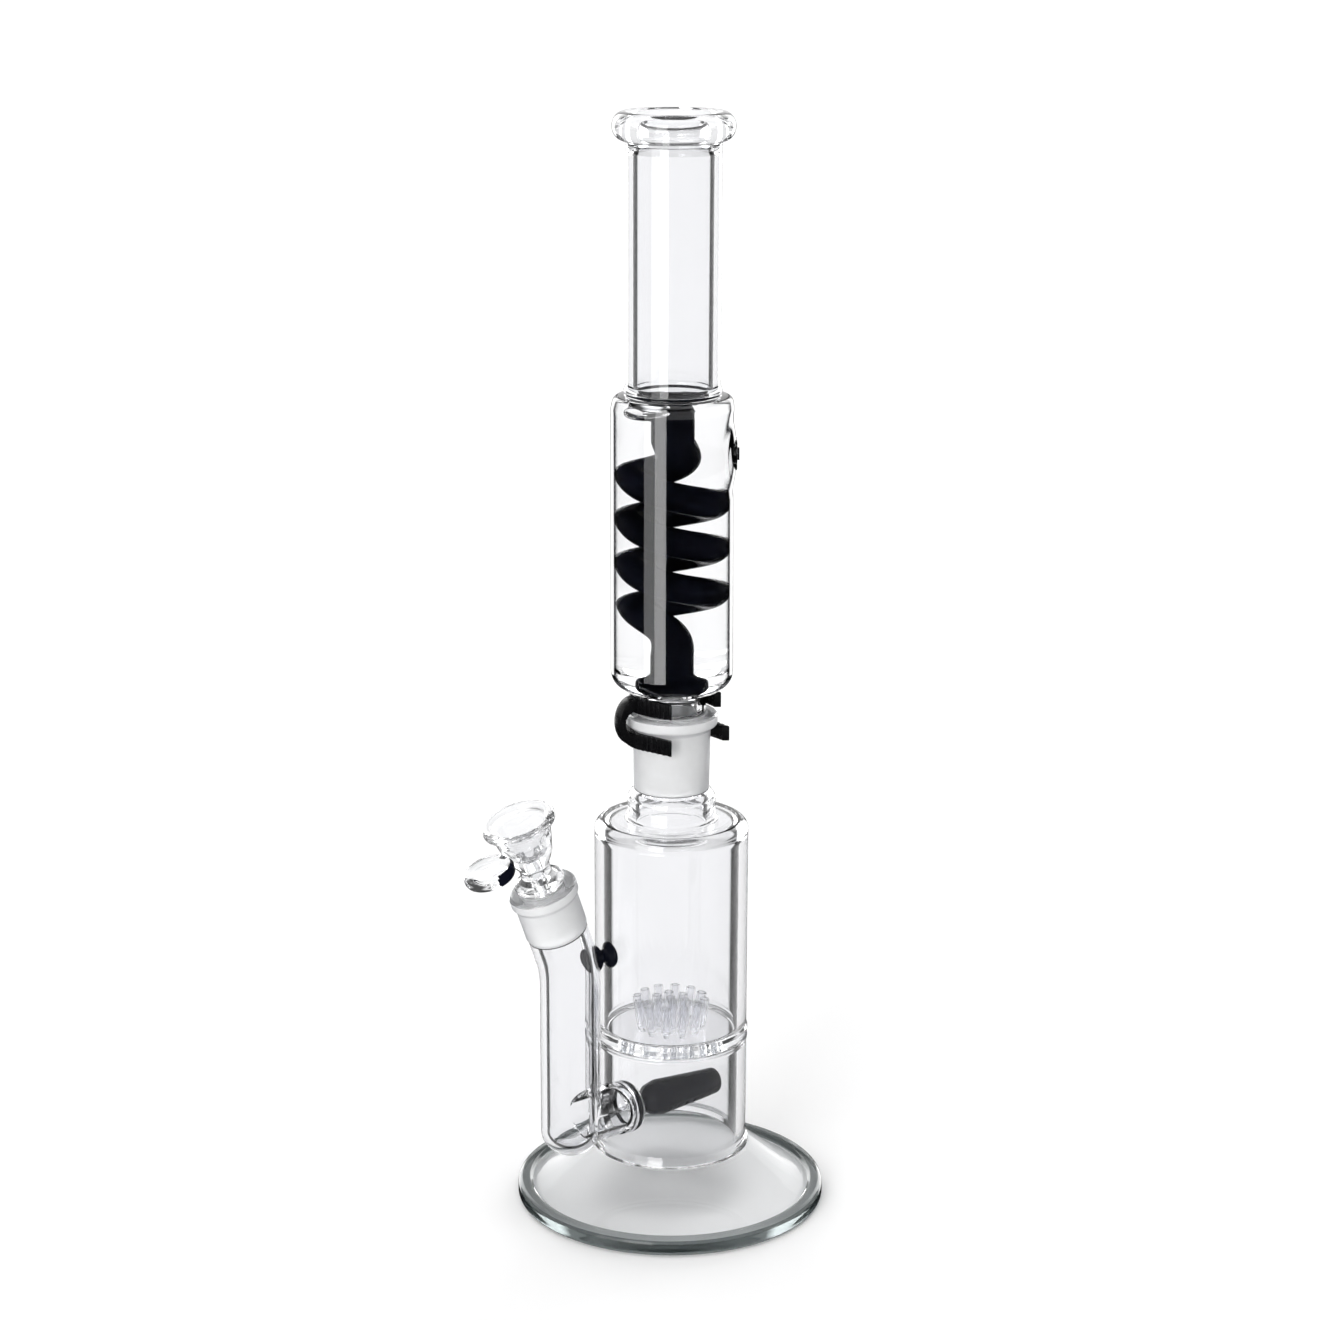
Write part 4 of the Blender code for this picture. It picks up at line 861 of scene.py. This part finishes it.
def make_coil():
    """The coil, and a black ring inside the glass just above the jacket's roof."""
    bore = coil_stations(False, COIL_BORE_R)
    coil = tube_along("coil", coil_stations(True, COIL_TUBE_R), [COIL_AND_PAINTED_SHADE_GLASS], 40, inner=bore)
    black_ring_r, black_ring_thick, black_ring_z = 17.2, 0.80, JACKET_TOP + 0.95
    ring = []
    for step in range(16):
        angle = 2 * math.pi * step / 16
        ring.append((black_ring_r + black_ring_thick * math.cos(angle), black_ring_z + black_ring_thick * math.sin(angle)))
    black_ring = lathe("black_ring", ring, [COIL_AND_PAINTED_SHADE_GLASS], 128, closed=True)
    form = bmesh.new()
    form.from_mesh(coil.data)
    form.from_mesh(black_ring.data)
    form.to_mesh(coil.data)
    form.free()
    bpy.data.objects.remove(black_ring)
    return finished(coil, "condenser", "black_glass", "coil_tube", "coil_inlet", "coil_outlet")


def make_coolant():
    """The glycerin, with the air bubble that stands under the jacket's roof."""
    bubble_right, bubble_front, bubble_z = -9.6, 11.6, 347.7
    side = JACKET_R - JACKET_WALL - 0.1
    top, bottom = JACKET_TOP - JACKET_WALL - 0.1, JACKET_BOTTOM + JACKET_WALL + 0.1
    profile = [
        (0.0, top),
        (side - 4.0, top, 3.0),
        (side, top - 4.0, 5.0),
        (side, bottom + 5.4, 8.0),
        (side - 5.4, bottom, 6.0),
        (0.0, bottom),
    ]
    slots = [WETTED_GLASS, LIQUID_SURFACE]
    liquid = lathe("coolant", rounded(profile), slots, 128)
    room = [(point, radius + 0.05) for point, radius in coil_stations(True, COIL_TUBE_R)]
    combine(liquid, tube_along("coil_room", room, slots, 40), "DIFFERENCE")
    bubble = bmesh.new()
    right, front = Vector((0.799, -0.602, 0.0)), Vector((-0.602, -0.799, 0.0))
    middle = (right * bubble_right + front * bubble_front) * MM + Vector((0.0, 0.0, bubble_z * MM))
    half_axes = Matrix.Diagonal((8.8 * MM, 6.4 * MM, 2.5 * MM, 1.0))
    shape = Matrix.Translation(middle) @ Matrix.Rotation(PORT_BEARING, 4, "Z") @ half_axes
    bmesh.ops.create_uvsphere(bubble, u_segments=64, v_segments=32, radius=1.0, matrix=shape)
    for face in bubble.faces:
        face.material_index = 1
    combine(liquid, to_object("bubble", bubble, slots), "DIFFERENCE")
    resharpen(liquid, 38.0)
    return finished(liquid, "condenser", "glycerin", "coolant_fill")


def make_plug():
    ribs, radius, depth = 18, 5.8, 0.45
    rib_shape = [(0.0, 0.2), (0.06, 0.0), (0.25, 0.0), (0.44, 0.0)]  # share of the pitch, share of the depth
    rib_shape += [(0.5, 0.2), (0.58, 1.0), (0.75, 1.0), (0.92, 1.0)]
    outline = []
    for rib in range(ribs):
        for share, low in rib_shape:
            angle = 2 * math.pi * (rib + share) / ribs
            reach = radius - depth * low
            outline.append((reach * math.cos(angle), reach * math.sin(angle)))
    plug = extruded("fill_plug_cap", outline, 26.8, 29.8, [RUBBER], 0.35)
    dish = lathe("dish", rounded([(0.0, 30.2), (3.6, 30.2), (3.2, 29.4, 0.5), (0.0, 29.3)]), [RUBBER], 48)
    combine(plug, dish, "DIFFERENCE")
    stem = lathe("stem", rounded([(0.0, 27.4), (2.6, 27.4), (2.6, 24.0, 0.5), (0.0, 24.0)]), [RUBBER], 32)
    combine(plug, stem, "UNION")
    baked(plug, PORT_MATRIX)
    resharpen(plug, 40.0)
    return finished(plug, "plug", "black_rubber", "fill_plug")


# ---------------------------------------------------------------- bowl


def make_bowl():
    hole = 2.4
    profile = [
        (hole, 0.4, 0.2),
        (9.2, 0.4, 0.3),
        (10.7, 2.0, 0.9),
        (10.7, 3.8, 0.9),
        (8.4, 5.2, 1.2),
        (6.5, 7.4, 1.6),
        (6.5, 11.0, 2.0),
        (8.3, 13.9, 1.8),
        (9.7, 16.6, 2.5),
        (11.3, 23.1, 6.0),
        (12.6, 29.4, 2.0),
        (15.5, 30.4, 1.9),
        (15.5, 33.6, 1.6),
        (12.2, 33.6, 1.6),
        (11.1, 31.0, 1.5),
        (8.6, 23.7, 5.0),
        (5.9, 17.7, 2.5),
        (hole, 16.4, 0.8),
    ]
    slots = [BOWL_GLASS, OUTER_GLASS, COIL_AND_PAINTED_SHADE_GLASS, HANDLE_GLASS]
    cup_low, cup_low_r, cup_slope = 17.7, 6.6, 0.55

    def paint(r, z):
        """1 for the neck's inside and the cup's inner slope."""
        return int(r < 6.3 or (z > 17 and r < cup_slope * (z - cup_low) + cup_low_r))

    bowl = lathe("bowl_glass", rounded(profile, True), slots, 96, closed=True, paint=paint)
    half, reach = 3.3, 10.8
    disc = [(0.0, half - 0.6), (5.0, half - 0.2, 6.0), (reach, half, 3.0)]
    disc += [(radius, -height, *fillet) for radius, height, *fillet in reversed(disc)]
    handle_x, handle_z, painted_shade_side = -20.2 * MM, 19.3 * MM, Vector((0.8, -0.6, 0.0))
    handle = baked(lathe("handle", rounded(disc), slots, 80), Matrix.Translation((handle_x, 0.0, handle_z)))
    # Painted shade: the side wall towards the front right gets black glass, a dark crescent on one side of
    # the clear handle.
    for face in handle.data.polygons:
        outward = (face.center - Vector((handle_x, 0.0, 0.0))).dot(painted_shade_side)
        face.material_index = 2 if outward > 4.5 * MM and abs(face.normal.z) < 0.8 else 3
    cup = [(0.0, 33.6), (10.2, 33.6), (10.2, 23.1), (8.6, 16.6), (7.0, 14.0), (0.0, 14.0)]
    combine(handle, lathe("room", rounded(cup), slots, 96), "DIFFERENCE")
    combine(bowl, handle, "UNION")
    baked(bowl, SOCKET_TOP)
    resharpen(bowl, 38.0)
    finished(bowl, "bowl", "clear_glass", "bowl_cup", "bowl_neck", "bowl_handle")

    low = -20.0
    profile = [
        (9.35, 0.0, 0.2),
        (9.4 + 0.05 * low, low, 0.6),
        (6.2, low, 0.6),
        (6.2, -3.6, 1.4),
        (hole, -0.6, 0.6),
        (hole, 0.0, 0.2),
    ]
    cone = baked(lathe("bowl_joint_cone", rounded(profile, True), [JOINT_GLASS], 96, closed=True), SOCKET_TOP)
    return finished(cone, "bowl", "ground_glass", "bowl_cone")


# ---------------------------------------------------------------- clip


def clip_ring(name, bottom, top, inner_r, flare):
    half_turn = 180.0 - CLIP_OPENING_HALF_DEG
    flare_turn, rib_turn, ribs, rib_depth, count = 34.0, 44.0, 6, 0.5, 96

    def reach(turn):
        past = max(0.0, abs(turn) - (half_turn - flare_turn)) / flare_turn
        return inner_r + flare * past * past

    def spoke(radius, turn):
        angle = math.radians(CLIP_OPENING_DEG + 180.0 + turn)
        return (radius * math.cos(angle), radius * math.sin(angle))

    turns = [-half_turn + 2 * half_turn * index / count for index in range(count + 1)]
    outline = [spoke(reach(turn), turn) for turn in turns]
    pitch = rib_turn / ribs
    outer = []
    for end in (1, -1):
        for rib in range(ribs):
            start = half_turn - 3.0 - rib * pitch
            for share, low in ((0.0, 0), (0.12, 1), (0.32, 1), (0.52, 1), (0.64, 0), (0.82, 0)):
                turn = end * (start - share * pitch)
                outer.append((turn, reach(turn) + CLIP_BAND - rib_depth * low))
    plain = half_turn - 3.0 - rib_turn
    outer += [(turn, reach(turn) + CLIP_BAND) for turn in turns if abs(turn) < plain]
    outer += [(end * half_turn, reach(half_turn) + CLIP_BAND) for end in (1, -1)]
    outline += [spoke(radius, turn) for turn, radius in sorted(outer, reverse=True)]
    return extruded(name, outline, bottom, top, [PLASTIC], 0.35)


def clip_bridge(name, bearing_deg):
    low_mid, high_mid = (CLIP_LOWER[0] + CLIP_LOWER[1]) / 2, (CLIP_UPPER[0] + CLIP_UPPER[1]) / 2
    middle, base = (low_mid + high_mid) / 2, 17.4
    outline = []
    outside, inside = (7.7, middle - CLIP_LOWER[0], -90, 90), (5.1, middle - CLIP_LOWER[1] + 1.4, 90, -90)
    for width, height, start, end in (outside, inside):
        for step in range(33):
            angle = math.radians(start + (end - start) * step / 32)
            outline.append((base + width * math.cos(angle), middle + height * math.sin(angle)))
    half = CLIP_BRIDGE_WIDTH / 2
    bridge = extruded(name, outline, -half, half, [PLASTIC], 0.5)
    upright = Matrix.Rotation(math.pi / 2, 4, "X")
    return baked(bridge, Matrix.Rotation(math.radians(bearing_deg), 4, "Z") @ upright)


def make_clip():
    """Two open rings joined by two bent bridges, cut clear of the joint they stand round."""
    clip = clip_ring("clip", *CLIP_LOWER)
    combine(clip, clip_ring("upper", *CLIP_UPPER), "UNION")
    for side in (-1, 1):
        combine(clip, clip_bridge("bridge", CLIP_OPENING_DEG + side * CLIP_BRIDGE_DEG), "UNION")
    keep_out = [
        (0.0, CLIP_UPPER[1] + 1.0),
        (CLIP_UPPER[2], CLIP_UPPER[1] + 1.0),
        (CLIP_UPPER[2], CLIP_UPPER[0]),
        (FLANGE_R + 0.5, CLIP_UPPER[0] - 0.1),
        (FLANGE_R + 0.5, FLANGE_BOTTOM - 0.3),
        (CLIP_LOWER[2], CLIP_LOWER[1]),
        (CLIP_LOWER[2], CLIP_LOWER[0] - 1.0),
        (0.0, CLIP_LOWER[0] - 1.0),
    ]
    combine(clip, lathe("clip_room", keep_out, [PLASTIC], 128), "DIFFERENCE")
    clip.name = "joint_clip_band"
    resharpen(clip, 40.0)
    return finished(clip, "clip", "black_plastic", "joint_clip")


# ---------------------------------------------------------------- studio


def make_floor():
    mesh = bpy.data.meshes.new("floor")
    form = bmesh.new()
    bmesh.ops.create_circle(form, cap_ends=True, segments=96, radius=30.0)
    form.to_mesh(mesh)
    form.free()
    floor = bpy.data.objects.new("floor", mesh)
    bpy.context.scene.collection.objects.link(floor)
    material, _, shader = new_material("floor_white")
    shader.inputs["Base Color"].default_value = (0.93, 0.93, 0.93, 1.0)
    shader.inputs["Roughness"].default_value = 1.0
    shader.inputs["Specular IOR Level"].default_value = 0.0
    mesh.materials.append(material)
    floor.visible_glossy = False
    floor.location.z = -0.3 * MM


# Tall softboxes: bearing, half width and soft edge in degrees, and strength
SOFTBOXES = (
    (210.5, 10.0, 1.0, 4.8),
    (200.0, 20.5, 1.5, 3.0),
    (25.0, 9.0, 3.0, 4.0),
    (80.0, 9.0, 3.0, 4.0),
)
SOFTBOX_ENDS = ((0.62, 0.52), (-0.305, -0.29))  # where they fade out, as the sine of the elevation


def make_world():
    """Soft white studio: bright round the horizon and overhead, darker between, with tall softboxes."""
    world = bpy.data.worlds.new("studio")
    bpy.context.scene.world = world
    world.use_nodes = True
    tree = world.node_tree
    background = tree.nodes["Background"]
    coords = tree.nodes.new("ShaderNodeTexCoord")
    split = tree.nodes.new("ShaderNodeSeparateXYZ")
    tree.links.new(coords.outputs["Generated"], split.inputs[0])
    height = map_range(tree, split.outputs["Z"], -1.0, 1.0)
    dark, white, mid, overhead = (0.010,) * 3, (0.95,) * 3, (0.10,) * 3, (1.65,) * 3
    stops = [(0.0, dark), (0.470, dark), (0.492, white), (0.66, white)]
    stops += [(0.74, mid), (0.86, mid), (0.92, overhead), (1.0, overhead)]
    sky = ramp(tree, height, stops)
    flat = tree.nodes.new("ShaderNodeCombineXYZ")
    tree.links.new(split.outputs["X"], flat.inputs["X"])
    tree.links.new(split.outputs["Y"], flat.inputs["Y"])
    unit = tree.nodes.new("ShaderNodeVectorMath")
    unit.operation = "NORMALIZE"
    tree.links.new(flat.outputs["Vector"], unit.inputs[0])
    total = sky
    for bearing, half, soft, strength in SOFTBOXES:
        dot = tree.nodes.new("ShaderNodeVectorMath")
        dot.operation = "DOT_PRODUCT"
        dot.inputs[1].default_value = (math.cos(math.radians(bearing)), math.sin(math.radians(bearing)), 0.0)
        tree.links.new(unit.outputs["Vector"], dot.inputs[0])
        outer, inner = math.cos(math.radians(half + soft)), math.cos(math.radians(half))
        mask = map_range(tree, dot.outputs["Value"], outer, inner)
        for low, high in SOFTBOX_ENDS:
            cut = map_range(tree, split.outputs["Z"], low, high)
            mask_node = tree.nodes.new("ShaderNodeMath")
            mask_node.operation = "MULTIPLY"
            tree.links.new(mask, mask_node.inputs[0])
            tree.links.new(cut, mask_node.inputs[1])
            mask = mask_node.outputs[0]
        glow = tree.nodes.new("ShaderNodeMath")
        glow.operation = "MULTIPLY"
        glow.inputs[1].default_value = strength
        tree.links.new(mask, glow.inputs[0])
        add = tree.nodes.new("ShaderNodeVectorMath")
        add.operation = "ADD"
        tree.links.new(total, add.inputs[0])
        tree.links.new(glow.outputs[0], add.inputs[1])
        total = add.outputs["Vector"]
    tree.links.new(total, background.inputs["Color"])


def make_camera():
    camera = bpy.data.cameras.new("camera")
    camera.sensor_width = 36.0
    camera.lens = 83.3
    camera.clip_start, camera.clip_end = 0.05, 100.0
    obj = bpy.data.objects.new("camera", camera)
    bpy.context.scene.collection.objects.link(obj)
    distance, height = 1.235, 0.576
    pitch, yaw, roll = math.radians(15.18), math.radians(0.233), math.radians(0.15)
    toward = Vector((0.602, 0.799, 0.0)).normalized()
    aim = Matrix.Rotation(yaw, 3, "Z") @ toward
    look = Vector((aim.x * math.cos(pitch), aim.y * math.cos(pitch), -math.sin(pitch)))
    obj.location = Vector((-toward.x * distance, -toward.y * distance, height))
    obj.rotation_mode = "QUATERNION"
    obj.rotation_quaternion = look.to_track_quat("-Z", "Y") @ Quaternion((0.0, 0.0, 1.0), roll)
    bpy.context.scene.camera = obj


def set_up_light_paths():
    """Enough bounces for light to pass through all the walls of glass."""
    cycles = bpy.context.scene.cycles
    cycles.max_bounces = 32
    cycles.transmission_bounces = 32
    cycles.glossy_bounces = 12
    bpy.context.scene.view_settings.view_transform = "Standard"


make_foot()
make_base_glass()
make_pillars()
make_joint_socket()
make_arm_socket()
make_diffuser()
make_strut()
make_condenser_cone()
make_condenser_glass()
make_coil()
make_coolant()
make_plug()
make_bowl()
make_clip()
make_floor()
make_world()
make_camera()
set_up_light_paths()
